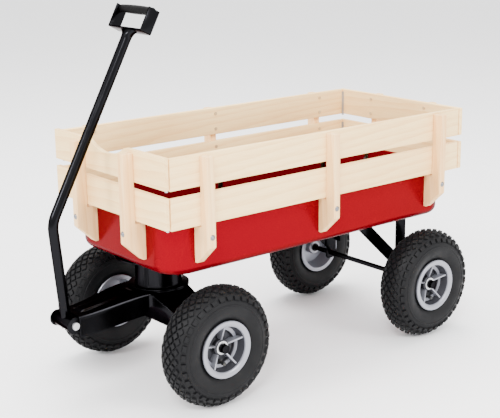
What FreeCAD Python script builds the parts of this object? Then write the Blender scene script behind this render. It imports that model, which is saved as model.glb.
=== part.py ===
import FreeCAD, Part
import os
import re

import Sketcher

# Pull wagon: a pressed tub with wooden side rails, on four pneumatic wheels, steered by
# a turntable whose tongue carries a bent pull handle with a loop grip.
# Millimetres. +Z is up, +Y runs back along the wagon, +X is the wagon's left side.
# The origin is on the ground, under the middle of the whole wagon.

DIMENSIONS = {
    # tub
    "middle_y": (54.87, "middle of the tub, ahead of it the tongue and handle stand out"),
    "tub_half_width": (176.0, "tub wall at the rim"),
    "tub_half_length": (395.5, "tub end wall at the rim"),
    "tub_floor": (279.0, "underside of the tub"),
    "tub_rim": (392.0, "top of the tub"),
    "tub_corner": (58.0, "corner radius seen from above"),
    "tub_round": (17.0, "radius between wall and floor"),
    "tub_sheet": (1.5, "sheet thickness of the tub"),
    "bead_width": (5.0, "how far the rolled rim stands out"),
    "bead_height": (7.0, "height of the rolled rim"),
    # rails
    "rail_half_width": (199.5, "outer face of the side boards"),
    "rail_half_length": (419.0, "outer face of the end boards"),
    "rail_top": (524.0, "top of the side boards"),
    "board_thick": (10.0, "board thickness"),
    "board_height": (63.0, "board height"),
    "board_gap": (15.0, "open space between the boards"),
    "corner_gap": (3.0, "between a side board's end and an end board"),
    "front_lift": (3.0, "how much higher the front boards sit"),
    "notch_radius": (117.0, "arc of the handle notch"),
    "notch_depth": (21.0, "depth of the handle notch"),
    "notch_shoulder": (14.0, "rounding at the notch's ends"),
    # stakes
    "stake_width": (17.5, "stake width along the board"),
    "stake_depth": (25.5, "stake depth outside the boards"),
    "stake_top": (521.0, "top of the stakes"),
    "stake_shoulder": (380.0, "height where a stake steps in to the tub"),
    "stake_foot": (303.0, "bottom of the stakes"),
    "stake_bevel_top": (341.0, "top of the bevel at a stake's foot"),
    "stake_toe": (8.0, "flat width of a stake's foot"),
    "stake_heel": (5.0, "rounding of a stake's foot against the tub"),
    "stake_gap": (23.5, "from the boards' outer face in to the tub"),
    "side_pitch": (328.0, "between side stakes"),
    "end_stake_x": (88.5, "end stakes, from the middle"),
    "bolt_height": (362.0, "height of the bolts through the stakes"),
    "bolt_radius": (2.5, "stake bolt"),
    "bolt_dome": (7.5, "ball that a stake bolt's domed head is a cap of"),
    "nut_radius": (4.6, "stake nut, across its corners, halved"),
    "nut_height": (4.0, "height of a stake nut"),
    "screw_radius": (2.0, "board screw"),
    "screw_head": (3.8, "radius of a board screw's head"),
    "screw_head_height": (1.6, "height of that head"),
    "screw_offset": (18.0, "board screws, above and below a board's middle"),
    "screw_bite": (16.0, "how deep a board screw goes into the stake"),
    "bracket_leg": (4.0, "leg of a corner bracket, a slim angle"),
    "bracket_sheet": (1.5, "sheet thickness of a corner bracket"),
    "bracket_height": (60.0, "height of a corner bracket"),
    "bracket_drop": (3.0, "how far a corner bracket hangs below its board"),
    # wheels
    "wheel_radius": (127.0, "outside of the tread"),
    "tyre_section": (42.3, "radius of the tyre's round section"),
    "tyre_wall": (7.0, "thickness of the tyre"),
    "bead_radius": (60.0, "inner edge of the tyre, on the rim's flange"),
    "wheel_x": (197.7, "middle of a wheel, from the wagon's middle"),
    "front_axle_y": (304.0, "front axle, ahead of the tub's middle"),
    "rear_axle_y": (305.0, "rear axle, behind the tub's middle"),
    "axle_radius": (6.0, "axle rod"),
    "axle_half": (221.0, "end of an axle rod"),
    "collar_radius": (9.0, "collar on the axle beside the hub"),
    "collar_width": (4.0, "width of that collar"),
    "hub_half": (18.0, "half the length of a hub"),
    "hub_play": (0.5, "free space beside a hub"),
    "rim_flange": (60.0, "radius of the rim's flange"),
    "rim_half": (35.8, "half the width of the rim"),
    "rim_edge": (3.0, "width of the flange's outer edge"),
    "rim_lip": (9.5, "how far the flange's flat face reaches inwards"),
    "rim_seat": (51.8, "radius of the seat under the tyre's bead"),
    "rim_well": (47.5, "radius of the well between the two seats"),
    "rim_skin": (3.5, "thickness of the rim's wall"),
    "well_half": (10.0, "half the width of the rim's well"),
    "seat_half": (19.0, "from the wheel's middle to a tyre's seat"),
    "step_x": (15.0, "step inside the rim's face, from the wheel's middle"),
    "step_radius": (46.5, "radius of that step"),
    "web_radius": (42.0, "radius of the rim's web"),
    "web_face": (8.0, "outer face of the web, from the wheel's middle"),
    "web_back": (3.0, "inner face of the web, from the wheel's middle"),
    "hub_radius": (17.5, "outside of the hub"),
    "hub_edge": (2.0, "bevel at a hub's end"),
    "rib_face": (22.0, "outer edge of the ribs, from the wheel's middle"),
    "rib_back": (16.0, "inner edge of the ribs, from the wheel's middle"),
    "rib_thick": (3.6, "thickness of a rim rib"),
    "rib_count": (5, "ribs on each side of a rim"),
    "bush_radius": (11.0, "outside of a hub bush"),
    "run_gap": (0.06, "running clearance around a pin or axle"),
    "valve_radius": (3.0, "valve stem"),
    "valve_reach": (33.0, "valve stem, from the wheel's axis"),
    "valve_length": (16.0, "length of the valve stem"),
    "valve_cap": (8.0, "length of the valve stem's cap"),
    "valve_foot": (3.0, "height of the collar at the valve stem's foot"),
    "washer_radius": (13.0, "washer outside a hub"),
    "washer_thick": (1.5, "thickness of that washer"),
    "cap_radius": (8.5, "cap on an axle's end"),
    "cap_height": (9.5, "height of that cap"),
    # rear frame
    "leg_x": (118.0, "web of a rear leg"),
    "leg_half": (16.0, "half the width of a rear leg"),
    "leg_sheet": (3.0, "thickness of the rear frame's steel"),
    "leg_flange": (18.0, "flange width of the rear frame"),
    "leg_foot": (114.0, "bottom of a rear leg"),
    "leg_corner": (5.0, "corner cut off a rear leg's bottom"),
    "flange_gap": (8.0, "from the brace's low end up to a leg's flange"),
    "foot_reach": (24.0, "bolted foot of a leg or brace, inboard of its web"),
    "foot_hole": (12.0, "stud in such a foot, inboard of its web"),
    "brace_reach": (134.0, "brace's top, ahead of the rear axle"),
    "brace_low": (150.0, "height where a brace meets its leg"),
    "brace_half": (14.0, "half the width of a brace"),
    "stud_radius": (3.0, "stud welded under the tub's floor"),
    "stud_length": (13.0, "length of such a stud"),
    "floor_nut": (6.0, "nut on such a stud, across its corners, halved"),
    "floor_nut_height": (5.0, "height of such a nut"),
    # turntable and front axle carrier
    "dish_radius": (64.0, "turntable plates"),
    "dish_bottom": (211.5, "underside of the upper turntable dish"),
    "dish_flange": (92.0, "outside of the dish's top flange"),
    "dish_wall": (50.0, "radius of the dish's wall at its foot"),
    "dish_draft": (2.0, "how much narrower that wall is at its top"),
    "dish_stud": (56.0, "studs through the dish's flange, across and along from the pin"),
    "plate_sheet": (3.0, "thickness of the turntable plates"),
    "pin_radius": (8.0, "king pin"),
    "pin_head": (14.0, "head of the king pin"),
    "pin_head_height": (7.0, "height of that head"),
    "pin_low": (192.0, "bottom of the king pin"),
    "pin_length": (30.0, "length of the king pin"),
    "pin_nut_low": (195.5, "underside of the king pin's nut"),
    "pin_nut": (14.0, "that nut, across its corners, halved"),
    "pin_nut_height": (9.0, "height of that nut"),
    "carrier_top": (208.0, "top of the front axle carrier"),
    "carrier_half": (42.0, "half the carrier's length along the wagon"),
    "carrier_end": (150.0, "end of the carrier"),
    "carrier_foot": (116.0, "bottom of the carrier's ends"),
    "carrier_arch": (150.0, "height of the opening under the carrier"),
    "arch_top_half": (104.0, "half the opening's width at its top"),
    "arch_foot_half": (128.0, "half the opening's width at its foot"),
    "carrier_flat": (50.0, "half the width of the carrier's flat top"),
    "knee_x": (110.0, "knee of the carrier's shoulder, from the middle"),
    "knee_z": (182.0, "height of that knee"),
    "hip_z": (142.0, "height where the shoulder meets the carrier's end"),
    # tongue
    "hinge_reach": (226.0, "handle hinge, ahead of the king pin"),
    "hinge_z": (178.0, "height of the handle hinge"),
    "ear_radius": (17.0, "round end of the tongue's ears"),
    "tongue_half": (35.0, "half the tongue's width at the hinge"),
    "waist_reach": (115.0, "tongue's waist, ahead of the king pin"),
    "waist_half": (44.0, "half the tongue's width at its waist"),
    "waist_top": (204.0, "top of the tongue at its waist"),
    "waist_low": (184.0, "bottom of the tongue's flanges at its waist"),
    "root_reach": (58.0, "tongue's root, ahead of the king pin"),
    "root_half": (50.0, "half the tongue's width at its root"),
    "root_low": (199.0, "bottom of the tongue's flanges at its root"),
    "cheek_length": (14.0, "straight part of the tongue's cheeks, behind the hinge"),
    "tongue_sheet": (2.5, "sheet thickness of the tongue"),
    "hinge_bolt_radius": (5.0, "hinge bolt"),
    "hinge_head": (7.5, "radius of the hinge bolt's head"),
    "hinge_head_height": (4.5, "height of the hinge bolt's head"),
    "hinge_tip": (8.0, "how far the hinge bolt stands out of the other ear"),
    "hinge_nut": (8.7, "hinge nut, across its corners, halved"),
    "hinge_nut_height": (7.0, "height of the hinge nut"),
    "stop_edge": (9.8, "tongue plate's edge, behind the hinge, that stops the handle"),
    # handle
    "tube_radius": (10.5, "handle tube"),
    "tube_wall": (1.6, "handle tube's wall"),
    "barrel_radius": (14.0, "cross tube at the hinge"),
    "barrel_half": (31.0, "half the cross tube's length"),
    "bend_ahead": (18.0, "bend of the tube, ahead of the hinge"),
    "bend_up": (206.0, "bend of the tube, above the hinge"),
    "bend_radius": (60.0, "radius of that bend"),
    "stem_length": (408.0, "from the bend to the loop"),
    "stem_tilt": (28.5, "how far the stem leans back, degrees"),
    "loop_half": (57.7, "half the loop's width"),
    "loop_height": (47.4, "height of the loop along the stem"),
    "loop_depth": (26.3, "width of the loop's strap"),
    "strap_sheet": (3.0, "thickness of the loop's strap"),
    "loop_corner": (6.0, "outside radius of the loop's corners"),
    "grip_half": (53.0, "half the grip's length"),
    "grip_radius": (14.6, "grip at its middle"),
    "grip_end": (12.2, "grip at its ends"),
    "grip_bevel": (1.5, "bevel at the grip's ends"),
}

doc = FreeCAD.newDocument("PullWagon")
sheet = doc.addObject("Spreadsheet::Sheet", "Dimensions")
for row, (alias, (value, note)) in enumerate(DIMENSIONS.items(), 1):
    sheet.set(f"A{row}", note)
    sheet.set(f"B{row}", str(value))
    sheet.setAlias(f"B{row}", alias)
doc.recompute()

SUB_PARTS = []
X_AXIS = FreeCAD.Vector(1, 0, 0)
Y_AXIS = FreeCAD.Vector(0, 1, 0)
Z_AXIS = FreeCAD.Vector(0, 0, 1)


# ---------------------------------------------------------------- helpers

def size(alias):
    """A dimension's value, read from the sheet."""
    return float(sheet.get(alias))


def bind(thing, prop, text):
    """Tie a property to the sheet; the words in text are the sheet's aliases."""
    def cell(found):
        return "Dimensions." + found[0] if found[0] in DIMENSIONS else found[0]
    thing.setExpression(prop, re.sub(r"[a-z][a-z_]*[a-z]", cell, str(text)))


def place(thing, x="0", y="0", z="0", turn=0, axis=Z_AXIS):
    """Turn a thing about an axis, and tie where it stands to the sheet."""
    thing.Placement = FreeCAD.Placement(FreeCAD.Vector(), FreeCAD.Rotation(axis, turn))
    for key, text in (("x", x), ("y", y), ("z", z)):
        bind(thing, "Placement.Base." + key, text)
    return thing


def sub_part(thing, label):
    """Name a finished piece; its label is its file's name."""
    thing.Label = label
    SUB_PARTS.append(thing)
    return thing


def new_body(name):
    return doc.addObject("PartDesign::Body", name)


def draw(body, plane, points=(), circles=(), lift="0"):
    """A sketch on one of the body's own planes: a closed outline through points, and
    circles as (across, up, radius), all of them tied to the sheet."""
    sketch = body.newObject("Sketcher::SketchObject", "outline")
    support = next(item for item in body.Origin.OriginFeatures if item.Role == plane)
    sketch.AttachmentSupport = [(support, "")]
    sketch.MapMode = "FlatFace"
    bind(sketch, "AttachmentOffset.Base.z", lift)
    start = FreeCAD.Vector(100, 0, 0)
    spots = [FreeCAD.Rotation(Z_AXIS, 360 * i / max(len(points), 1)).multVec(start)
             for i in range(len(points))]
    for i, spot in enumerate(spots):
        sketch.addGeometry(Part.LineSegment(spot, spots[(i + 1) % len(spots)]))
    for i in range(len(points)):
        sketch.addConstraint(Sketcher.Constraint("Coincident", i, 2, (i + 1) % len(points), 1))

    def fix(kind, curve, point, value, text):
        ends = (-1, 1, curve, point) if point else (curve,)
        index = sketch.addConstraint(Sketcher.Constraint(kind, *ends, value))
        name = f"{kind}_{curve}"
        sketch.renameConstraint(index, name)
        bind(sketch, "Constraints." + name, text)

    for i, (across, up) in enumerate(points):
        fix("DistanceX", i, 1, spots[i].x, across)
        fix("DistanceY", i, 1, spots[i].y, up)
    for across, up, radius in circles:
        i = sketch.addGeometry(Part.Circle(start, Z_AXIS, 5.0))
        fix("DistanceX", i, 3, start.x, across)
        fix("DistanceY", i, 3, start.y, up)
        fix("Radius", i, 0, 5.0, radius)
    return sketch


def box_points(low_x, high_x, low_y, high_y):
    """The corners of a rectangle."""
    return [(low_x, low_y), (high_x, low_y), (high_x, high_y), (low_x, high_y)]


def mirrored(points):
    """An outline whose given half, on the plus side, is repeated on the other side."""
    return points + [(f"-({across})", up) for across, up in reversed(points)]


def extrude(body, sketch, length, both_ways=False):
    pad = body.newObject("PartDesign::Pad", "pad")
    pad.Profile = sketch
    bind(pad, "Length", length)
    if both_ways:
        pad.SideType = "Symmetric"
    return pad


def cut_out(body, sketch, length=None, both_ways=True, forward=False):
    """Remove a sketch's outline from the body, and make sure that it did cut."""
    doc.recompute()
    before = body.Shape.Volume
    pocket = body.newObject("PartDesign::Pocket", "pocket")
    pocket.Profile = sketch
    pocket.Reversed = forward
    if both_ways:
        pocket.SideType = "Symmetric"
    if length:
        bind(pocket, "Length", length)
    else:
        pocket.Type = "ThroughAll"
    doc.recompute()
    if body.Shape.Volume > before - 1.0:
        raise RuntimeError(f"a pocket in {body.Label} cuts nothing")
    return pocket


def revolve(body, sketch, axis):
    turned = body.newObject("PartDesign::Revolution", "turned")
    turned.Profile = sketch
    turned.ReferenceAxis = (sketch, [axis])
    turned.Angle = 360
    return turned


def round_edges(body, feature, radius, wanted):
    """Round the feature's edges that wanted(edge) picks."""
    doc.recompute()
    names = [f"Edge{i}" for i, edge in enumerate(feature.Shape.Edges, 1) if wanted(edge)]
    rounded = body.newObject("PartDesign::Fillet", "rounded")
    rounded.Base = (feature, names)
    bind(rounded, "Radius", radius)
    return rounded


def runs_along(edge, axis):
    """True for a straight edge that runs mostly along the axis."""
    along = edge.Vertexes[-1].Point - edge.Vertexes[0].Point
    straight = abs(edge.Length - along.Length) < 1e-4
    return straight and abs(along.dot(axis)) > 0.9 * along.Length


def rod(name, radius, length, start="0", axis=Z_AXIS):
    """A cylinder along an axis, from start to start + length, on that axis."""
    cylinder = doc.addObject("Part::Cylinder", name)
    bind(cylinder, "Radius", radius)
    bind(cylinder, "Height", length)
    turns = {0: (Y_AXIS, 90), 1: (X_AXIS, -90), 2: (Z_AXIS, 0)}
    which = (X_AXIS, Y_AXIS, Z_AXIS).index(axis)
    turn_axis, turn = turns[which]
    return place(cylinder, *["0" if i != which else start for i in range(3)], turn, turn_axis)


def fuse(name, pieces):
    joined = doc.addObject("Part::MultiFuse", name)
    joined.Shapes = pieces
    return joined


def subtract(name, base, tool):
    rest = doc.addObject("Part::Cut", name)
    rest.Base = base
    rest.Tool = tool
    return rest


def group(label, copies):
    """Separate solids that share one node: each is (pattern object, placement)."""
    doc.recompute()
    solids = []
    for pattern, placement in copies:
        solid = pattern.Shape.copy()
        solid.Placement = placement.multiply(solid.Placement)
        solids.append(solid)
    feature = doc.addObject("Part::Feature", label)
    feature.Shape = Part.makeCompound(solids)
    feature.Placement = FreeCAD.Placement()
    return sub_part(feature, label)


def at(x, y, z, turn=0, axis=Z_AXIS):
    return FreeCAD.Placement(FreeCAD.Vector(x, y, z), FreeCAD.Rotation(axis, turn))


# ---------------------------------------------------------------- where things repeat

# Each stake: name, x, y, turn. A stake is drawn facing +X and turned to face outwards.
STAKES = []
for side, sign, turn in (("left", "1", 0), ("right", "-1", 180)):
    for spot, step in (("front", "-side_pitch"), ("middle", "0"), ("rear", "side_pitch")):
        STAKES.append((f"{side}_stake_{spot}", f"{sign} * rail_half_width",
                       f"middle_y + {step}", turn))
for end, sign, turn in (("front", "-1", -90), ("rear", "1", 90)):
    for side, x in (("left", "end_stake_x"), ("right", "-end_stake_x")):
        STAKES.append((f"{end}_stake_{side}", x, f"middle_y + {sign} * rail_half_length", turn))

# Each wheel: name, x, y, turn.
WHEELS = []
for end, y in (("front", "middle_y - front_axle_y"), ("rear", "middle_y + rear_axle_y")):
    for side, x, turn in (("left", "wheel_x", 0), ("right", "-wheel_x", 180)):
        WHEELS.append((f"{end}_{side}", x, y, turn))

middle_y = size("middle_y")
king_y = middle_y - size("front_axle_y")
rear_y = middle_y + size("rear_axle_y")
KING_Y = "middle_y - front_axle_y"
REAR_Y = "middle_y + rear_axle_y"
HINGE_Y = "middle_y - front_axle_y - hinge_reach"


def stake_spots():
    """Placement of each stake, for the fasteners that go through it."""
    half_width, half_length = size("rail_half_width"), size("rail_half_length")
    pitch, end_x = size("side_pitch"), size("end_stake_x")
    for sign, turn in ((1, 0), (-1, 180)):
        for step in (-pitch, 0, pitch):
            yield at(sign * half_width, middle_y + step, 0, turn)
    for sign, turn in ((-1, -90), (1, 90)):
        for x in (end_x, -end_x):
            yield at(x, middle_y + sign * half_length, 0, turn)


# ---------------------------------------------------------------- tub

def pan_block(name, inset, floor, top):
    """The tub's outline as a solid block from floor to top, drawn in by inset all round."""
    block = new_body(name)
    across, along = f"(tub_half_width - {inset})", f"(tub_half_length - {inset})"
    base = draw(block, "XY_Plane", box_points(f"-{across}", across, f"-{along}", along),
                lift=floor)
    raised = extrude(block, base, f"{top} - {floor}")
    corners = round_edges(block, raised, f"tub_corner - {inset}",
                          lambda e: runs_along(e, Z_AXIS))
    doc.recompute()
    low = corners.Shape.BoundBox.ZMin
    round_edges(block, corners, f"tub_round - {inset}",
                lambda e: abs(e.BoundBox.ZMax - low) < 0.01)
    return place(block, y="middle_y")


def make_tub():
    """A pan with round corners, hollowed to sheet thickness, with a rolled rim."""
    pan = subtract("tub_pressing", pan_block("tub_outside", "0", "tub_floor", "tub_rim"),
                   pan_block("tub_inside", "tub_sheet", "(tub_floor + tub_sheet)",
                             "(tub_rim + bead_height)"))

    bead = new_body("rolled_rim")
    outer_x, outer_y = "(tub_half_width + bead_width)", "(tub_half_length + bead_width)"
    ring = extrude(bead, draw(bead, "XY_Plane",
                              box_points(f"-{outer_x}", outer_x, f"-{outer_y}", outer_y),
                              lift="tub_rim - bead_height"), "bead_height")
    round_edges(bead, ring, "tub_corner + bead_width", lambda e: runs_along(e, Z_AXIS))
    doc.recompute()
    inner_x, inner_y = "(tub_half_width - tub_sheet)", "(tub_half_length - tub_sheet)"
    middle = new_body("rim_opening")
    plug = extrude(middle, draw(middle, "XY_Plane",
                                box_points(f"-{inner_x}", inner_x, f"-{inner_y}", inner_y),
                                lift="tub_rim - 2 * bead_height"), "3 * bead_height")
    round_edges(middle, plug, "tub_corner - tub_sheet", lambda e: runs_along(e, Z_AXIS))
    for body in (bead, middle):
        place(body, y="middle_y")
    rim = subtract("rim_ring", bead, middle)
    pressed = fuse("pressed_tub", [pan, rim])

    doc.recompute()
    drills = []
    for spot in stake_spots():
        drill = Part.makeCylinder(size("bolt_radius"), 2 * size("stake_gap"),
                                  FreeCAD.Vector(-2 * size("stake_gap"), 0, size("bolt_height")),
                                  X_AXIS)
        drill.Placement = spot
        drills.append(drill)
    holes = doc.addObject("Part::Feature", "bolt_holes")
    holes.Shape = Part.makeCompound(drills)
    sub_part(subtract("tub", pressed, holes), "tub")


def stud_spots():
    """Where studs hold the rear frame and the turntable dish under the tub's floor."""
    spread = size("dish_stud")
    for x_sign in (1, -1):
        for y_sign in (1, -1):
            yield x_sign * spread, king_y + y_sign * spread
    inboard = size("leg_x") - size("foot_hole")
    for x_sign in (1, -1):
        yield x_sign * inboard, rear_y
        yield x_sign * inboard, rear_y - size("brace_reach")


# ---------------------------------------------------------------- boards

def make_board(label, half_length, bottom, screw_lines, x, y, turn, notch=False):
    """One rail board, drawn along X and turned into place, with its screw holes."""
    board = new_body(label)
    holes = [(line, f"{bottom} + board_height / 2 + {sign} * screw_offset", "screw_radius")
             for line in screw_lines for sign in (1, -1)]
    outline = box_points(f"-({half_length})", half_length, bottom, f"{bottom} + board_height")
    slab = extrude(board, draw(board, "XZ_Plane", outline, holes), "board_thick", both_ways=True)
    if notch:
        up = f"{bottom} + board_height - notch_depth + notch_radius"
        scoop = cut_out(board, draw(board, "XZ_Plane", (), [("0", up, "notch_radius")]))
        top = size("rail_top") + size("front_lift")

        def shoulder(edge):
            return (runs_along(edge, Y_AXIS) and abs(edge.CenterOfMass.z - top) < 0.01
                    and abs(edge.CenterOfMass.x) < size("notch_radius"))
        round_edges(board, scoop, "notch_shoulder", shoulder)
    place(board, x, y, turn=turn)
    return sub_part(board, label)


def make_boards():
    """Two boards on each of the four sides; the front pair sits a little higher."""
    inset = "board_thick / 2"
    side_half = "rail_half_length - board_thick - corner_gap"
    side_lines = ["-side_pitch", "0", "side_pitch"]
    end_lines = ["-end_stake_x", "end_stake_x"]
    rows = (("upper", "rail_top - board_height"),
            ("lower", "rail_top - 2 * board_height - board_gap"))
    for level, bottom in rows:
        for side, sign, turn in (("left", "1", 90), ("right", "-1", -90)):
            make_board(f"{side}_board_{level}", side_half, bottom, side_lines,
                       f"{sign} * (rail_half_width - {inset})", "middle_y", turn)
        make_board(f"front_board_{level}", "rail_half_width", f"{bottom} + front_lift", end_lines,
                   "0", f"middle_y - rail_half_length + {inset}", 0, notch=level == "upper")
        make_board(f"rear_board_{level}", "rail_half_width", bottom, end_lines,
                   "0", f"middle_y + rail_half_length - {inset}", 0)


def make_stakes():
    """Upright stakes outside the boards, stepped in below them to lie on the tub."""
    outline = [("stake_depth", "stake_top"), ("0", "stake_top"), ("0", "stake_shoulder"),
               ("-stake_gap", "stake_shoulder"), ("-stake_gap", "stake_foot"),
               ("-stake_gap + stake_toe", "stake_foot"), ("stake_depth", "stake_bevel_top")]
    rows = ("rail_top - board_height", "rail_top - 2 * board_height - board_gap")
    for label, x, y, turn in STAKES:
        lift = " + front_lift" if label.startswith("front") else ""
        stake = new_body(label)
        bar = extrude(stake, draw(stake, "XZ_Plane", outline), "stake_width", both_ways=True)
        foot, heel = size("stake_foot"), -size("stake_gap")
        round_edges(stake, bar, "stake_heel", lambda e: runs_along(e, Y_AXIS)
                    and abs(e.CenterOfMass.z - foot) < 0.01 and abs(e.CenterOfMass.x - heel) < 0.01)
        cut_out(stake, draw(stake, "YZ_Plane", (), [("0", "bolt_height", "bolt_radius")]))
        screws = [("0", f"{row}{lift} + board_height / 2 + {sign} * screw_offset", "screw_radius")
                  for row in rows for sign in (1, -1)]
        cut_out(stake, draw(stake, "YZ_Plane", (), screws), "screw_bite",
                both_ways=False, forward=True)
        place(stake, x, y, turn=turn)
        sub_part(stake, label)


DOME_START = 38     # degrees up from a ball's middle to where a bolt's domed head begins


def make_rail_fasteners():
    """Bolts and nuts through the stakes, screws through the boards, corner brackets."""
    wall = size("stake_gap") + size("tub_sheet")
    tip = "(stake_gap + tub_sheet + 2 * nut_height)"
    shank = rod("stake_bolt_shank", "bolt_radius", f"stake_depth + {tip}", f"-{tip}", X_AXIS)
    head = doc.addObject("Part::Sphere", "stake_bolt_dome")
    bind(head, "Radius", "bolt_dome")
    head.Angle1 = DOME_START
    head.Angle2 = 90
    place(head, f"stake_depth - bolt_dome * sin({DOME_START}deg)", turn=90, axis=Y_AXIS)
    bolt = fuse("stake_bolt_pattern", [shank, head])
    nut = subtract("stake_nut_pattern", hexagon("stake_nut_hex", "nut_radius", "nut_height"),
                   rod("stake_nut_hole", "bolt_radius", "3 * nut_height", "-nut_height"))
    spots = list(stake_spots())
    up = size("bolt_height")
    group("stake_bolts", [(bolt, spot.multiply(at(0, 0, up))) for spot in spots])
    group("stake_nuts", [(nut, spot.multiply(at(-wall, 0, up, -90, Y_AXIS))) for spot in spots])

    screw = fuse("board_screw_pattern", [
        rod("board_screw_shank", "screw_radius", "screw_bite + board_thick", "-board_thick",
            X_AXIS),
        rod("board_screw_head", "screw_head", "screw_head_height",
            "-board_thick - screw_head_height", X_AXIS)])
    rows = (size("rail_top") - size("board_height") / 2,
            size("rail_top") - size("board_height") * 1.5 - size("board_gap"))
    screws = []
    for spot, (label, *_) in zip(spots, STAKES):
        lift = size("front_lift") if label.startswith("front") else 0.0
        for row in rows:
            for step in (size("screw_offset"), -size("screw_offset")):
                screws.append((screw, spot.multiply(at(0, 0, row + lift + step))))
    group("board_screws", screws)

    angle = new_body("corner_bracket_pattern")
    leg, sheet_in = "bracket_leg", "bracket_sheet"
    outline = [("0", "0"), (f"-{leg}", "0"), (f"-{leg}", f"-{sheet_in}"),
               (f"-{sheet_in}", f"-{sheet_in}"), (f"-{sheet_in}", f"-{leg}"), ("0", f"-{leg}")]
    extrude(angle, draw(angle, "XY_Plane", outline), "bracket_height")
    inner_x = size("rail_half_width") - size("board_thick")
    inner_y = size("rail_half_length") - size("board_thick")
    brackets = []
    for level in (0, 1):
        low = (size("rail_top") - size("board_height") * (level + 1)
               - size("board_gap") * level - size("bracket_drop"))
        for x_sign, y_sign, turn in ((1, 1, 0), (-1, 1, 90), (-1, -1, 180), (1, -1, 270)):
            brackets.append((angle, at(x_sign * inner_x, middle_y + y_sign * inner_y, low, turn)))
    group("corner_brackets", brackets)


def hexagon(name, circumradius, height, start="0"):
    prism = doc.addObject("Part::Prism", name)
    prism.Polygon = 6
    bind(prism, "Circumradius", circumradius)
    bind(prism, "Height", height)
    return place(prism, z=start)


# ---------------------------------------------------------------- wheels

def make_wheel(name, x, y, turn):
    """Tyre, ribbed rim, hub bush and valve stem. A wheel is drawn with its outer face
    towards +X, its middle at the body's origin, and turned for the other side."""
    carcass = new_body("tyre_carcass")
    middle = "wheel_radius - tyre_section"
    ring = draw(carcass, "XZ_Plane", (), [("0", middle, "tyre_section"),
                                          ("0", middle, "tyre_section - tyre_wall")])
    revolve(carcass, ring, "H_Axis")
    opening = rod("tyre_opening", "bead_radius", "4 * tyre_section", "-2 * tyre_section", X_AXIS)
    tyre = subtract("tyre", carcass, opening)
    place(tyre, x, y, "wheel_radius", turn)
    doc.recompute()
    if tyre.Shape.Volume > carcass.Shape.Volume - 1.0:
        raise RuntimeError("the tyre has no opening for its rim")
    sub_part(tyre, f"tyre_{name}")

    rim = new_body("rim")
    hub = [("hub_half - hub_edge", "hub_radius"), ("hub_half", "hub_radius - hub_edge"),
           ("hub_half", "bush_radius"), ("-hub_half", "bush_radius"),
           ("-hub_half", "hub_radius - hub_edge"), ("-hub_half + hub_edge", "hub_radius")]
    face = [("rim_half", "rim_flange"), ("rim_half", "rim_flange - rim_lip"),
            ("step_x", "step_radius"), ("step_x", "web_radius"),
            ("web_face", "web_radius - hub_edge"), ("web_face", "hub_radius")]
    back = [("web_back", "hub_radius"), ("web_back", "web_radius"),
            ("-well_half", "rim_well - rim_skin"), ("-seat_half", "rim_well - 0.5"),
            ("-rim_half", "rim_flange - rim_lip"), ("-rim_half", "rim_flange")]
    # The outside, from the wheel's middle to its outer edge; the inner side is the same.
    bed = [("well_half", "rim_well"), ("seat_half", "rim_seat"),
           ("rim_half - 2 * hub_edge", "rim_seat + hub_edge"), ("rim_half - rim_edge", "rim_flange")]
    inner_bed = [(f"-({across})", up) for across, up in reversed(bed)]
    revolve(rim, draw(rim, "XZ_Plane", face + hub + back + inner_bed + bed), "H_Axis")
    ribs = []
    middle, root = "(web_face + web_back) / 2", "bush_radius + rim_edge"
    for spoke in ([(middle, root), ("rib_face", root), ("rib_face - hub_edge", "web_radius + 1"),
                   (middle, "web_radius + rim_edge")],
                  [(middle, root), ("-rib_back", root), ("-well_half", "rim_well - hub_edge"),
                   (middle, "rim_well - hub_edge")]):
        ribs.append(extrude(rim, draw(rim, "XZ_Plane", spoke), "rib_thick", both_ways=True))
    doc.recompute()
    around = rim.newObject("PartDesign::PolarPattern", "ribs_around")
    around.Originals = ribs
    around.Axis = (next(item for item in rim.Origin.OriginFeatures if item.Role == "X_Axis"), [""])
    around.Angle = 360
    bind(around, "Occurrences", "rib_count")
    rim.Tip = around
    place(rim, x, y, "wheel_radius", turn)
    sub_part(rim, f"rim_{name}")

    bush = subtract("bush",
                    rod("bush_outside", "bush_radius", "2 * hub_half", "-hub_half", X_AXIS),
                    rod("bush_hole", "axle_radius + run_gap", "3 * hub_half", "-1.5 * hub_half",
                        X_AXIS))
    place(bush, x, y, "wheel_radius", turn)
    sub_part(bush, f"hub_bush_{name}")

    # The stem stands out of the web straight below the axle, midway between two ribs.
    stem = fuse("valve", [
        rod("valve_stem", "valve_radius", "valve_length", "web_face", X_AXIS),
        rod("valve_cap", "valve_radius + 1", "valve_cap", "web_face + valve_length - valve_cap + 2",
            X_AXIS),
        rod("valve_foot", "valve_radius + 2.5", "valve_foot", "web_face", X_AXIS)])
    place(stem, x, y, "wheel_radius - valve_reach", turn)
    sub_part(stem, f"valve_stem_{name}")


def make_axle(label, y):
    """A rod with a collar inside each hub."""
    inner_end = "(wheel_x - hub_half - hub_play - collar_width)"
    pieces = [rod("axle_rod", "axle_radius", "2 * axle_half", "-axle_half", X_AXIS),
              rod("axle_collar", "collar_radius", "collar_width", inner_end, X_AXIS),
              rod("axle_collar", "collar_radius", "collar_width",
                  f"-{inner_end} - collar_width", X_AXIS)]
    return sub_part(place(fuse(label, pieces), y=y, z="wheel_radius"), label)


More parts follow.
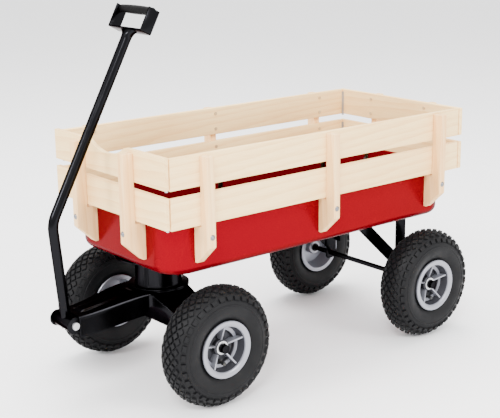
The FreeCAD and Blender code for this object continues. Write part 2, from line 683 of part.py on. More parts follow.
def make_axle_retainers():
    """A washer and a cap nut on each end of an axle, outside the hub."""
    washer = subtract("axle_washer",
                      rod("washer_disc", "washer_radius", "washer_thick", "0", X_AXIS),
                      rod("washer_hole", "axle_radius", "3 * washer_thick", "-washer_thick",
                          X_AXIS))
    cap = subtract("axle_cap",
                   rod("cap_outside", "cap_radius", "cap_height", "washer_thick", X_AXIS),
                   rod("cap_bore", "axle_radius", "axle_half - wheel_x - hub_half - hub_play",
                       "0", X_AXIS))
    outside = size("wheel_x") + size("hub_half") + size("hub_play")
    up = size("wheel_radius")
    for end, y in (("front", king_y), ("rear", rear_y)):
        group(f"{end}_axle_retainers", [(piece, at(sign * outside, y, up, turn))
                                        for piece in (washer, cap)
                                        for sign, turn in ((1, 0), (-1, 180))])


# ---------------------------------------------------------------- rear frame

def make_rear_frame():
    """On each side an upright leg and a slanting brace carry the rear axle."""
    foot_top = "tub_floor"
    drop = f"({foot_top} - leg_sheet - brace_low)"
    slope = f"sqrt(brace_reach * brace_reach + {drop} * {drop})"
    half_top = f"brace_half * {slope} / {drop}"
    lean_y, lean_z = f"brace_half * {drop} / {slope}", f"brace_half * brace_reach / {slope}"
    foot = f"{foot_top} - leg_sheet"
    for side, sign, turn in (("left", 1, 0), ("right", -1, 180)):
        # On the right the piece is turned round, so its drawing faces the other way.
        leg = new_body(f"rear_leg_{side}")
        web = [("-leg_half", foot_top), ("-leg_half", "leg_foot + leg_corner"),
               ("-leg_half + leg_corner", "leg_foot"), ("leg_half - leg_corner", "leg_foot"),
               ("leg_half", "leg_foot + leg_corner"), ("leg_half", foot_top)]
        extrude(leg, draw(leg, "YZ_Plane", web, [("0", "wheel_radius", "axle_radius")]),
                "leg_sheet")
        back = f"{sign} * leg_half"
        edge = f"{sign} * (leg_half - leg_sheet)"
        flange = box_points("-leg_flange", "0", edge, back)
        extrude(leg, draw(leg, "XY_Plane", flange, lift="brace_low + flange_gap"),
                f"{foot_top} - brace_low - flange_gap")
        plate = box_points("-foot_reach", "leg_sheet", "-leg_half", "leg_half")
        extrude(leg, draw(leg, "XY_Plane", plate, [("-foot_hole", "0", "stud_radius")], lift=foot),
                "leg_sheet")
        place(leg, f"{sign} * leg_x", REAR_Y, turn=turn)
        sub_part(leg, f"rear_leg_{side}")

        brace = new_body(f"rear_brace_{side}")
        ahead = f"{-sign} * "
        strip = [(f"{ahead}(brace_reach + {half_top})", foot),
                 (f"{ahead}({lean_y})", f"brace_low - {lean_z}"),
                 (f"{ahead}(0 - {lean_y})", f"brace_low + {lean_z}"),
                 (f"{ahead}(brace_reach - {half_top})", foot)]
        extrude(brace, draw(brace, "YZ_Plane", strip, lift="leg_sheet"), "leg_sheet")
        top = box_points("-foot_reach", "2 * leg_sheet", f"{ahead}brace_reach - leg_half",
                         f"{ahead}brace_reach + leg_half")
        extrude(brace, draw(brace, "XY_Plane", top,
                            [("-foot_hole", f"{ahead}brace_reach", "stud_radius")], lift=foot),
                "leg_sheet")
        place(brace, f"{sign} * leg_x", REAR_Y, turn=turn)
        sub_part(brace, f"rear_brace_{side}")
    make_axle("rear_axle", REAR_Y)


def make_studs():
    """Studs welded under the tub's floor, with nuts under the feet they hold."""
    stud = rod("stud_pattern", "stud_radius", "stud_length", "-stud_length")
    nut = subtract("floor_nut_pattern", hexagon("floor_nut_hex", "floor_nut", "floor_nut_height"),
                   rod("floor_nut_hole", "stud_radius", "3 * floor_nut_height",
                       "-floor_nut_height"))
    floor = size("tub_floor")
    under = floor - size("leg_sheet") - size("floor_nut_height")
    spots = list(stud_spots())
    group("undercarriage_studs", [(stud, at(x, y, floor)) for x, y in spots])
    group("undercarriage_nuts", [(nut, at(x, y, under)) for x, y in spots])


# ---------------------------------------------------------------- turntable and steering

def make_turntable():
    """A pressed dish under the tub, and the king pin that the steering turns on."""
    dish = new_body("turntable_dish")
    floor, under = "tub_floor", "tub_floor - plate_sheet"
    upper, throat = "dish_bottom + plate_sheet", "dish_wall - dish_draft"
    section = [("pin_radius", "dish_bottom"), ("dish_radius", "dish_bottom"),
               ("dish_radius", upper), ("dish_wall", upper), (throat, under),
               ("dish_flange", under), ("dish_flange", floor), (f"{throat} - plate_sheet", floor),
               ("dish_wall - plate_sheet", f"{upper} + plate_sheet"),
               ("dish_wall - 2 * plate_sheet", upper), ("pin_radius", upper)]
    revolve(dish, draw(dish, "XZ_Plane", section), "V_Axis")
    holes = [(f"{x} * dish_stud", f"{y} * dish_stud", "stud_radius")
             for x in (1, -1) for y in (1, -1)]
    cut_out(dish, draw(dish, "XY_Plane", (), holes, lift="tub_floor"))
    place(dish, y=KING_Y)
    sub_part(dish, "turntable_dish")

    shaft = rod("king_shaft", "pin_radius", "pin_length", "pin_low")
    head = rod("king_head", "pin_head", "pin_head_height", "dish_bottom + plate_sheet")
    pin = fuse("king_pin", [shaft, head])
    sub_part(place(pin, y=KING_Y), "king_pin")
    nut = subtract("king_pin_nut",
                   hexagon("king_nut_hex", "pin_nut", "pin_nut_height", "pin_nut_low"),
                   rod("king_nut_hole", "pin_radius", "pin_length", "pin_low - pin_nut_height"))
    sub_part(place(nut, y=KING_Y), "king_pin_nut")


def make_front_axle_carrier():
    """A channel pressed into an arch; the front axle goes through its two ends."""
    carrier = new_body("front_axle_carrier")
    arch = [("arch_top_half", "carrier_arch"), ("arch_foot_half", "carrier_foot"),
            ("carrier_end", "carrier_foot"), ("carrier_end", "hip_z"), ("knee_x", "knee_z"),
            ("carrier_flat", "carrier_top")]
    extrude(carrier, draw(carrier, "XZ_Plane", mirrored(arch)), "2 * carrier_half",
            both_ways=True)
    skin, end = "plate_sheet", "carrier_end - plate_sheet"
    inside = [(end, "carrier_foot - 3 * plate_sheet"), (end, f"hip_z - 0.4 * {skin}"),
              (f"knee_x - 0.4 * {skin}", f"knee_z - {skin}"),
              (f"carrier_flat - 0.2 * {skin}", f"carrier_top - {skin}")]
    cut_out(carrier, draw(carrier, "XZ_Plane", mirrored(inside)), f"2 * (carrier_half - {skin})")
    cut_out(carrier, draw(carrier, "YZ_Plane", (), [("0", "wheel_radius", "axle_radius")]))
    cut_out(carrier, draw(carrier, "XY_Plane", (), [("0", "0", "pin_radius + run_gap")]))
    place(carrier, y=KING_Y)
    sub_part(carrier, "front_axle_carrier")
    make_axle("front_axle", KING_Y)


def make_tongue():
    """A flanged plate from the turntable to the handle's hinge, with two round ears."""
    tongue = new_body("tongue")
    sections = []
    # (ahead of the king pin, half width, top, flange bottom)
    stations = (("hinge_reach", "tongue_half", "hinge_z + ear_radius", "hinge_z - ear_radius"),
                ("hinge_reach - cheek_length", "tongue_half", "hinge_z + ear_radius",
                 "hinge_z - ear_radius"),
                ("waist_reach", "waist_half", "waist_top", "waist_low"),
                ("root_reach", "root_half", "carrier_top + plate_sheet", "root_low"))
    for ahead, half, top, low in stations:
        inner = f"{half} - tongue_sheet"
        section = [(inner, f"{top} - tongue_sheet"), (inner, low), (half, low), (half, top)]
        sections.append(draw(tongue, "XZ_Plane", mirrored(section), lift=ahead))
    loft = tongue.newObject("PartDesign::AdditiveLoft", "flanged_plate")
    loft.Profile = sections[0]
    loft.Sections = sections[1:]
    loft.Ruled = True
    doc.recompute()
    # Nothing stays between the ears in front of the edge that stops the handle.
    gap = box_points("-tongue_half + tongue_sheet", "tongue_half - tongue_sheet",
                     "-hinge_reach - 2 * ear_radius", "-hinge_reach + stop_edge")
    cut_out(tongue, draw(tongue, "XY_Plane", gap))
    ear = [("-hinge_reach", "hinge_z", "ear_radius")]
    for edge in ("tongue_half - tongue_sheet", "-tongue_half"):
        extrude(tongue, draw(tongue, "YZ_Plane", (), ear, lift=edge), "tongue_sheet")
    bolt_hole = [("-hinge_reach", "hinge_z", "hinge_bolt_radius")]
    cut_out(tongue, draw(tongue, "YZ_Plane", (), bolt_hole))
    disc = draw(tongue, "XY_Plane", (), [("0", "0", "dish_radius")], lift="carrier_top")
    extrude(tongue, disc, "plate_sheet")
    cut_out(tongue, draw(tongue, "XY_Plane", (), [("0", "0", "pin_radius + run_gap")]))
    place(tongue, y=KING_Y)
    sub_part(tongue, "tongue")

    # The hinge bolt: a domed head on the left, a nut on the right.
    shaft = rod("hinge_shaft", "hinge_bolt_radius", "2 * tongue_half + hinge_tip",
                "-tongue_half - hinge_tip", X_AXIS)
    head = rod("hinge_head", "hinge_head", "hinge_head_height", "tongue_half", X_AXIS)
    bolt = fuse("hinge_bolt", [shaft, head])
    sub_part(place(bolt, y=HINGE_Y, z="hinge_z"), "hinge_bolt")
    nut = subtract("hinge_nut", hexagon("hinge_nut_hex", "hinge_nut", "hinge_nut_height"),
                   rod("hinge_nut_hole", "hinge_bolt_radius", "3 * hinge_nut_height",
                       "-hinge_nut_height"))
    place(nut, "-tongue_half - hinge_nut_height", HINGE_Y, "hinge_z", 90, Y_AXIS)
    sub_part(nut, "hinge_nut")


# ---------------------------------------------------------------- handle

def make_handle():
    """Cross tube at the hinge, bent tube, and a strap loop with a grip."""
    barrel = subtract("handle_barrel",
                      rod("barrel_outside", "barrel_radius", "2 * barrel_half", "-barrel_half",
                          X_AXIS),
                      rod("barrel_bore", "hinge_bolt_radius + run_gap", "3 * barrel_half",
                          "-1.5 * barrel_half", X_AXIS))
    place(barrel, y=HINGE_Y, z="hinge_z")
    sub_part(barrel, "handle_barrel")

    # The stem's end, from the hinge: back and up from the bend.
    def on_stem(length):
        return (f"(-bend_ahead + ({length}) * sin(stem_tilt * 1deg))",
                f"(bend_up + ({length}) * cos(stem_tilt * 1deg))")
    neck_y, neck_z = on_stem("stem_length")
    tube = new_body("tube_pressing")
    ring = draw(tube, "XY_Plane", (), [("0", "0", "tube_radius"),
                                       ("0", "0", "tube_radius - tube_wall")])
    path = draw_bent_path(tube, ("0", "0"), ("-bend_ahead", "bend_up"),
                          on_stem("stem_length + strap_sheet"), "bend_radius")
    pipe = tube.newObject("PartDesign::AdditivePipe", "bent_tube")
    pipe.Profile = ring
    pipe.Spine = (path, ["Edge1", "Edge2", "Edge3"])
    # The tube stops at the cross tube below, and flat under the loop above.
    loop_space = doc.addObject("Part::Cylinder", "loop_space")
    bind(loop_space, "Radius", "3 * tube_radius")
    bind(loop_space, "Height", "3 * tube_radius")
    place(loop_space, "0", neck_y, neck_z, -size("stem_tilt"), X_AXIS)
    barrel_space = rod("barrel_space", "barrel_radius", "3 * barrel_half", "-1.5 * barrel_half",
                       X_AXIS)
    trimmed = subtract("handle_tube", tube, fuse("tube_ends", [barrel_space, loop_space]))
    place(trimmed, y=HINGE_Y, z="hinge_z")
    sub_part(trimmed, "handle_tube")

    loop = new_body("handle_loop")
    outer = box_points("-loop_half", "loop_half", "0", "loop_height")
    frame = extrude(loop, draw(loop, "XZ_Plane", outer), "loop_depth", both_ways=True)
    round_edges(loop, frame, "loop_corner", lambda e: runs_along(e, Y_AXIS))
    wall = "strap_sheet"
    inner = box_points(f"-loop_half + {wall}", f"loop_half - {wall}", wall,
                       f"loop_height - {wall}")
    window = cut_out(loop, draw(loop, "XZ_Plane", inner))
    inside_x = size("loop_half") - size("strap_sheet")
    middle_z = size("loop_height") / 2
    inside_z = middle_z - size("strap_sheet")
    round_edges(loop, window, f"loop_corner - {wall}", lambda e: runs_along(e, Y_AXIS)
                and abs(abs(e.CenterOfMass.x) - inside_x) < 0.1
                and abs(abs(e.CenterOfMass.z - middle_z) - inside_z) < 0.1)
    grip_body = new_body("grip_turning")
    up = "loop_height - strap_sheet / 2"
    crown = "(grip_end + 0.75 * (grip_radius - grip_end))"
    half_section = [("-grip_half", up), ("-grip_half", f"{up} + grip_end - grip_bevel"),
                    ("-grip_half + grip_bevel", f"{up} + grip_end"),
                    ("-grip_half / 2", f"{up} + {crown}")]
    section = half_section + [("0", f"{up} + grip_radius")]
    section += [(f"-({across})", height) for across, height in reversed(half_section)]
    profile = draw(grip_body, "XZ_Plane", section)
    turned = grip_body.newObject("PartDesign::Revolution", "turned")
    turned.Profile = profile
    turned.ReferenceAxis = (profile, ["Edge9"])
    turned.Angle = 360
    slot = doc.addObject("Part::Box", "strap_space")
    for prop, text in (("Length", "4 * grip_half"), ("Width", "loop_depth"), ("Height", wall)):
        bind(slot, prop, text)
    place(slot, "-2 * grip_half", "-loop_depth / 2", f"loop_height - {wall}")
    grip = subtract("handle_grip", grip_body, slot)
    for piece, label in ((loop, "handle_loop"), (grip, "handle_grip")):
        place(piece, "0", f"{HINGE_Y} + {neck_y}", f"hinge_z + {neck_z}", -size("stem_tilt"), X_AXIS)
        sub_part(piece, label)


def draw_bent_path(body, first, corner, last, radius):
    """An open path in the YZ plane: two straight runs with a tangent arc between them."""
    sketch = body.newObject("Sketcher::SketchObject", "path")
    support = next(item for item in body.Origin.OriginFeatures if item.Role == "YZ_Plane")
    sketch.AttachmentSupport = [(support, "")]
    sketch.MapMode = "FlatFace"
    reach = size("bend_radius")
    bend = FreeCAD.Vector(-size("bend_ahead"), size("bend_up"), 0)
    low, high = bend - FreeCAD.Vector(0, 20, 0), bend + FreeCAD.Vector(9, 17, 0)
    middle = bend + FreeCAD.Vector(1.5, 0, 0)
    sketch.addGeometry(Part.LineSegment(FreeCAD.Vector(0, 0, 0), low))
    sketch.addGeometry(Part.Arc(low, middle, high))
    sketch.addGeometry(Part.LineSegment(high, FreeCAD.Vector(170, 560, 0)))
    sketch.addGeometry(Part.Point(bend), True)
    arc_low, arc_high = 1, 2
    if sketch.getPoint(1, 1).distanceToPoint(low) > 1.0:
        arc_low, arc_high = 2, 1
    sketch.addConstraint(Sketcher.Constraint("Tangent", 0, 2, 1, arc_low))
    sketch.addConstraint(Sketcher.Constraint("Tangent", 1, arc_high, 2, 1))
    sketch.addConstraint(Sketcher.Constraint("PointOnObject", 3, 1, 0))
    sketch.addConstraint(Sketcher.Constraint("PointOnObject", 3, 1, 2))
    ends = ((0, 1, first, "start"), (3, 1, corner, "corner"), (2, 2, last, "end"))
    for curve, point, spot, name in ends:
        here = sketch.getPoint(curve, point)
        for kind, value, text in (("DistanceX", here.x, spot[0]), ("DistanceY", here.y, spot[1])):
            index = sketch.addConstraint(Sketcher.Constraint(kind, -1, 1, curve, point, value))
            sketch.renameConstraint(index, f"{kind}_{name}")
            bind(sketch, f"Constraints.{kind}_{name}", text)
    index = sketch.addConstraint(Sketcher.Constraint("Radius", 1, reach))
    sketch.renameConstraint(index, "bend")
    bind(sketch, "Constraints.bend", radius)
    return sketch


# ---------------------------------------------------------------- build, check and write

make_tub()
make_boards()
make_stakes()
make_rail_fasteners()
for wheel in WHEELS:
    make_wheel(*wheel)
make_rear_frame()
make_studs()
make_turntable()
make_front_axle_carrier()
make_tongue()
make_axle_retainers()
make_handle()
doc.recompute()

for thing in doc.Objects:
    if "Invalid" in thing.State or "Error" in thing.State:
        raise RuntimeError(f"{thing.Label} failed: {thing.State}")
os.makedirs("parts", exist_ok=True)
for thing in SUB_PARTS:
    shape = thing.Shape
    if shape.isNull() or not shape.isValid():
        raise RuntimeError(f"{thing.Label} has no valid shape")
    shape.exportStep(f"parts/{thing.Label}.step")
print(len(SUB_PARTS), "parts written")
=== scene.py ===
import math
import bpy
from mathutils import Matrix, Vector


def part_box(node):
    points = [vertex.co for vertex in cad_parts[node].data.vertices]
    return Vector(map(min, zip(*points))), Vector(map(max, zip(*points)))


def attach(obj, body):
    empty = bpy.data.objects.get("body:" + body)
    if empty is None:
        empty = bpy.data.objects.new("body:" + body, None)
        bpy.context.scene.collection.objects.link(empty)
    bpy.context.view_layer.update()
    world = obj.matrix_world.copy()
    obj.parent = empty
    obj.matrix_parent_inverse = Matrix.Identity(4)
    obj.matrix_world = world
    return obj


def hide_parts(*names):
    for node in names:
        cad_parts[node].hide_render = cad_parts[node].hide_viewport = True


bl_info = {
    "name": "Pull Wagon",
    "version": (1, 0, 0),
    "blender": (4, 5, 0),
    "location": "View3D > Sidebar > Pull Wagon",
    "description": "Dresses a pull wagon's frame: tub, wooden rails, wheels, tongue and handle",
    "category": "Object",
}

from contextlib import contextmanager

import bmesh
import bpy
from bpy.props import FloatProperty, FloatVectorProperty, IntProperty, PointerProperty
from mathutils import Euler, Matrix, Vector

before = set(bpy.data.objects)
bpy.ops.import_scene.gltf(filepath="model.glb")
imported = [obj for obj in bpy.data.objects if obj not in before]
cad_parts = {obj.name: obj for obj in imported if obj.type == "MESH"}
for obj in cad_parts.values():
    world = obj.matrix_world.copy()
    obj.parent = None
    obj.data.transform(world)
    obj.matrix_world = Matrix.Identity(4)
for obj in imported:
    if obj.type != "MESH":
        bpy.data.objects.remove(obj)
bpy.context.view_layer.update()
MM = 0.001
MERGE_DISTANCE = 0.00002
DEGENERATE = 0.00001
MIX_FIRST, MIX_SECOND, MIX_RESULT = 6, 7, 2    # a Mix node's colour sockets
ENDS = ("front", "rear")
SIDES = ("left", "right")
WHEELS = [f"{end}_{side}" for end in ENDS for side in SIDES]


def middle(node):
    """Middle of a frame node."""
    low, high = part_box(node)
    return (Vector(low) + Vector(high)) / 2


def linear(red, green, blue):
    """A colour given as 0 to 255 on a screen, as the shader wants it."""
    def channel(value):
        value /= 255
        return value / 12.92 if value <= 0.04045 else ((value + 0.055) / 1.055) ** 2.4
    return channel(red), channel(green), channel(blue)


# ---------------------------------------------------------------- sizes and colours

def length(name, default, note):
    """A length that a user may change."""
    return FloatProperty(name=name, description=note, default=default, min=0.0,
                         unit="LENGTH", subtype="DISTANCE", precision=4)


def paint(name, default, note):
    """A colour that a user may change."""
    return FloatVectorProperty(name=name, description=note, default=linear(*default), size=3,
                               min=0.0, max=1.0, subtype="COLOR")


class WagonSizes(bpy.types.PropertyGroup):
    """Sizes that the frame doesn't give."""
    tub_corner: length("Tub corner", 0.058, "Corner radius of the tub seen from above")
    tub_round: length("Tub round", 0.017, "Radius between the tub's wall and its floor")
    tub_sheet: length("Tub sheet", 0.0015, "Sheet thickness of the tub")
    bead: length("Rolled rim", 0.0029, "Radius of the tub's rolled rim")
    board_edge: length("Board edge", 0.0014, "Rounding of the boards' edges")
    stake_edge: length("Stake edge", 0.0018, "Rounding of the stakes' edges")
    notch_radius: length("Notch radius", 0.117, "Arc of the notch for the handle")
    notch_depth: length("Notch depth", 0.021, "Depth of the notch for the handle")
    notch_shoulder: length("Notch shoulder", 0.014, "Rounding at the notch's ends")
    stake_shoulder: length("Stake shoulder", 0.380, "Height where a stake steps in to the tub")
    bevel_top: length("Stake bevel", 0.341, "Top of the bevel at a stake's foot")
    stake_toe: length("Stake toe", 0.008, "Flat width of a stake's foot")
    tyre_section: length("Tyre section", 0.0423, "Radius of the tyre's round section")
    tread_depth: length("Tread depth", 0.0042, "Height of the tread's blocks")
    groove: length("Groove", 0.0014, "Half the width of a tread groove")
    flange: length("Rim flange", 0.060, "Radius of a rim's flange")
    rim_half: length("Rim half width", 0.0358, "Half the width of a rim")
    tube: length("Handle tube", 0.0105, "Radius of the handle tube")
    bend: length("Tube bend", 0.060, "Radius of the handle tube's bend")
    bend_ahead: length("Bend ahead", 0.018, "Bend of the tube, ahead of the hinge")
    bend_up: length("Bend up", 0.206, "Bend of the tube, above the hinge")
    stem: length("Stem", 0.408, "From the bend to the loop")
    strap: length("Strap", 0.003, "Thickness of the loop's strap")
    tongue_sheet: length("Tongue sheet", 0.0025, "Sheet thickness of the tongue")
    steel_edge: length("Steel edge", 0.0012, "Rounding of the pressed steel's edges")
    tread_count: IntProperty(name="Tread count", description="Tread blocks round a tyre",
                             default=36, min=12)
    rib_count: IntProperty(name="Rib count", description="Ribs on a rim", default=5, min=3)
    stem_tilt: FloatProperty(name="Stem tilt", description="How far the stem leans back",
                             default=math.radians(28.5), subtype="ANGLE", unit="ROTATION")


class WagonColours(bpy.types.PropertyGroup):
    """Colours of the wagon's finishes, and a painted shade for the rims' dish."""
    red: paint("Red enamel", (112, 2, 17), "Paint of the tub")
    black: paint("Black enamel", (24, 24, 26), "Paint of the steel under the tub")
    pine: paint("Pine", (250, 216, 152), "Pale wood between the growth rings")
    ring: paint("Growth rings", (230, 180, 112), "Darker wood of the growth rings")
    stake: paint("Stake wood", (247, 206, 146), "Pale wood of the stakes")
    stake_ring: paint("Stake rings", (224, 168, 102), "Growth rings of the stakes")
    zinc: paint("Zinc", (128, 129, 132), "Plated fasteners")
    bright: paint("Bright steel", (205, 206, 208), "Corner angles and washers")
    screw: paint("Board screws", (214, 190, 150), "Yellow plated screws")
    rim: paint("Rims", (138, 139, 147), "Moulded rims")
    # Painted shade: a dark grey that stands for the shade deep in the rims' dish, not a colour the
    # rim has
    painted_dish_shade: paint("Rim dish painted shade", (52, 52, 57), "The rims' deep dish")
    rubber: paint("Rubber", (11, 11, 13), "Tyres")
    grip: paint("Grip", (7, 6, 7), "Handle's grip")
    bush: paint("Bushes", (60, 60, 62), "Nylon bushes in the hubs")
    valve: paint("Valves", (18, 18, 19), "Rubber valve stems")
    floor: paint("Floor", (250, 250, 251), "Studio floor")


# ---------------------------------------------------------------- modelling helpers

def activate(piece):
    """Leave just this piece selected and active, in object mode."""
    bpy.ops.object.select_all(action="DESELECT")
    piece.select_set(True)
    bpy.context.view_layer.objects.active = piece


@contextmanager
def editing(piece):
    """Edit mode on one piece."""
    activate(piece)
    bpy.ops.object.mode_set(mode="EDIT")
    yield
    bpy.ops.object.mode_set(mode="OBJECT")


def settle(piece):
    """Move a piece's place, turn and scale into its mesh."""
    activate(piece)
    bpy.ops.object.transform_apply(location=True, rotation=True, scale=True)
    return piece


def start(kind, name, scale=(1, 1, 1), **settings):
    """Add a primitive, named and settled."""
    bpy.ops.object.select_all(action="DESELECT")
    getattr(bpy.ops.mesh, f"primitive_{kind}_add")(**settings)
    piece = bpy.context.object
    piece.name = piece.data.name = name
    piece.scale = scale
    return settle(piece)


def block(name, low, high):
    """A box between two corners."""
    low, high = Vector(low), Vector(high)
    return start("cube", name, scale=high - low, size=1, location=(low + high) / 2)


def pick(kind, wanted):
    """In edit mode, select only the faces, edges or verts that wanted() is true for."""
    modes = {"faces": "FACE", "edges": "EDGE", "verts": "VERT"}
    bpy.ops.mesh.select_mode(type=modes[kind])
    bpy.ops.mesh.select_all(action="DESELECT")
    data = bpy.context.object.data
    mesh = bmesh.from_edit_mesh(data)
    for item in list(getattr(mesh, kind)):
        if wanted(item):
            item.select_set(True)
    mesh.select_flush_mode()
    bmesh.update_edit_mesh(data)


def centre(item):
    """Middle of a face or an edge."""
    return sum((vert.co for vert in item.verts), Vector()) / len(item.verts)


def run(edge):
    """Direction of an edge."""
    return (edge.verts[1].co - edge.verts[0].co).normalized()


def tidy_mesh():
    """In edit mode, merge doubles and turn every face outwards."""
    bpy.ops.mesh.select_all(action="SELECT")
    bpy.ops.mesh.remove_doubles(threshold=MERGE_DISTANCE)
    bpy.ops.mesh.dissolve_degenerate(threshold=DEGENERATE)
    bpy.ops.mesh.select_all(action="SELECT")
    bpy.ops.mesh.normals_make_consistent(inside=False)


def modify(piece, kind, **settings):
    """Add a modifier and apply it."""
    activate(piece)
    bpy.ops.object.modifier_add(type=kind)
    modifier = piece.modifiers[-1]
    for key, value in settings.items():
        setattr(modifier, key, value)
    bpy.ops.object.modifier_apply(modifier=modifier.name)


def soften(piece, width, segments=2, angle=30):
    """Round every edge sharper than angle."""
    modify(piece, "BEVEL", width=width, segments=segments, limit_method="ANGLE",
           angle_limit=math.radians(angle), use_clamp_overlap=True)


def turned(name, profile, steps):
    """A closed profile of (along X, radius) points, spun round the X axis."""
    piece = start("plane", name, size=MM)
    spots = [Vector((along, 0, radius)) for along, radius in profile]
    spots.append(spots[0])
    with editing(piece):
        bpy.ops.mesh.select_mode(type="VERT")
        bpy.ops.mesh.select_all(action="SELECT")
        bpy.ops.mesh.merge(type="CENTER")
        bpy.ops.transform.translate(value=spots[0])
        for before, after in zip(spots, spots[1:]):
            bpy.ops.mesh.extrude_region_move(TRANSFORM_OT_translate={"value": after - before})
        bpy.ops.mesh.select_all(action="SELECT")
        bpy.ops.mesh.spin(steps=steps, angle=math.tau, center=(0, 0, 0), axis=(1, 0, 0))
        tidy_mesh()
    return piece


def copy_of(piece, name, matrix):
    """A copy with its own mesh, put in place."""
    activate(piece)
    bpy.ops.object.duplicate(linked=False)
    twin = bpy.context.object
    twin.name = twin.data.name = name
    twin.matrix_world = matrix
    return settle(twin)


def joined(pieces):
    """Join pieces into the first of them."""
    activate(pieces[0])
    for piece in pieces:
        piece.select_set(True)
    bpy.ops.object.join()
    return bpy.context.object


def remove(piece):
    """Delete a pattern that has been copied."""
    activate(piece)
    bpy.ops.object.delete()


def dressed(piece, material, body, nodes, angle=35):
    """Give a finished piece its material or materials, its body and its nodes."""
    activate(piece)
    shades = [face.material_index for face in piece.data.polygons]
    materials = material if isinstance(material, tuple) else (material,)
    piece.data.materials.clear()
    for one in materials:
        piece.data.materials.append(one)
    piece.data.polygons.foreach_set("material_index", shades)
    bpy.ops.object.shade_smooth_by_angle(angle=math.radians(angle))
    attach(piece, body)
    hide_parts(*nodes)
    return piece


def from_node(node, width):
    """A copy of a frame node with its edges rounded."""
    piece = start("cube", f"{node}_rounded", size=MM)
    piece.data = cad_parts[node].data.copy()
    piece.data.name = piece.name
    with editing(piece):
        bpy.ops.mesh.customdata_custom_splitnormals_clear()
        bpy.ops.mesh.select_all(action="SELECT")
        bpy.ops.mesh.remove_doubles(threshold=MERGE_DISTANCE)
        bpy.ops.mesh.dissolve_limited(angle_limit=math.radians(1.0))
    soften(piece, width, 3)
    return piece


# ---------------------------------------------------------------- material helpers

def node_in(tree, kind, inputs=None, **settings):
    """Add a node; inputs maps a socket to a value, or to the output that feeds it."""
    node = tree.nodes.new(kind)
    for key, value in settings.items():
        setattr(node, key, value)
    for socket, value in (inputs or {}).items():
        if isinstance(value, bpy.types.NodeSocket):
            tree.links.new(value, node.inputs[socket])
        else:
            node.inputs[socket].default_value = value
    return node


def new_group(name, inputs, outputs):
    """An empty node group, with its input and output nodes."""
    group = bpy.data.node_groups.new(name, "ShaderNodeTree")
    for way, sockets in (("INPUT", inputs), ("OUTPUT", outputs)):
        for label, kind in sockets:
            group.interface.new_socket(name=label, in_out=way, socket_type=f"NodeSocket{kind}")
    return group, node_in(group, "NodeGroupInput"), node_in(group, "NodeGroupOutput")


def surface_marks():
    """Group: roughness that drifts over a surface, with a fine uneven height."""
    if "Surface Marks" in bpy.data.node_groups:
        return bpy.data.node_groups["Surface Marks"]
    group, given, out = new_group(
        "Surface Marks",
        [("Vector", "Vector"), ("Scale", "Float"), ("Lowest", "Float"), ("Highest", "Float")],
        [("Roughness", "Float"), ("Height", "Float"), ("Mask", "Float")])
    broad = node_in(group, "ShaderNodeTexNoise",
                    {"Vector": given.outputs["Vector"], "Scale": given.outputs["Scale"],
                     "Detail": 3.0, "Roughness": 0.55})
    spread = node_in(group, "ShaderNodeMapRange",
                     {"Value": broad.outputs["Fac"], "From Min": 0.32, "From Max": 0.68,
                      "To Min": given.outputs["Lowest"], "To Max": given.outputs["Highest"]})
    finer = node_in(group, "ShaderNodeMath", {0: given.outputs["Scale"], 1: 14.0},
                    operation="MULTIPLY")
    grain = node_in(group, "ShaderNodeTexNoise",
                    {"Vector": given.outputs["Vector"], "Scale": finer.outputs[0],
                     "Detail": 2.0})
    group.links.new(spread.outputs["Result"], out.inputs["Roughness"])
    group.links.new(grain.outputs["Fac"], out.inputs["Height"])
    group.links.new(broad.outputs["Fac"], out.inputs["Mask"])
    return group


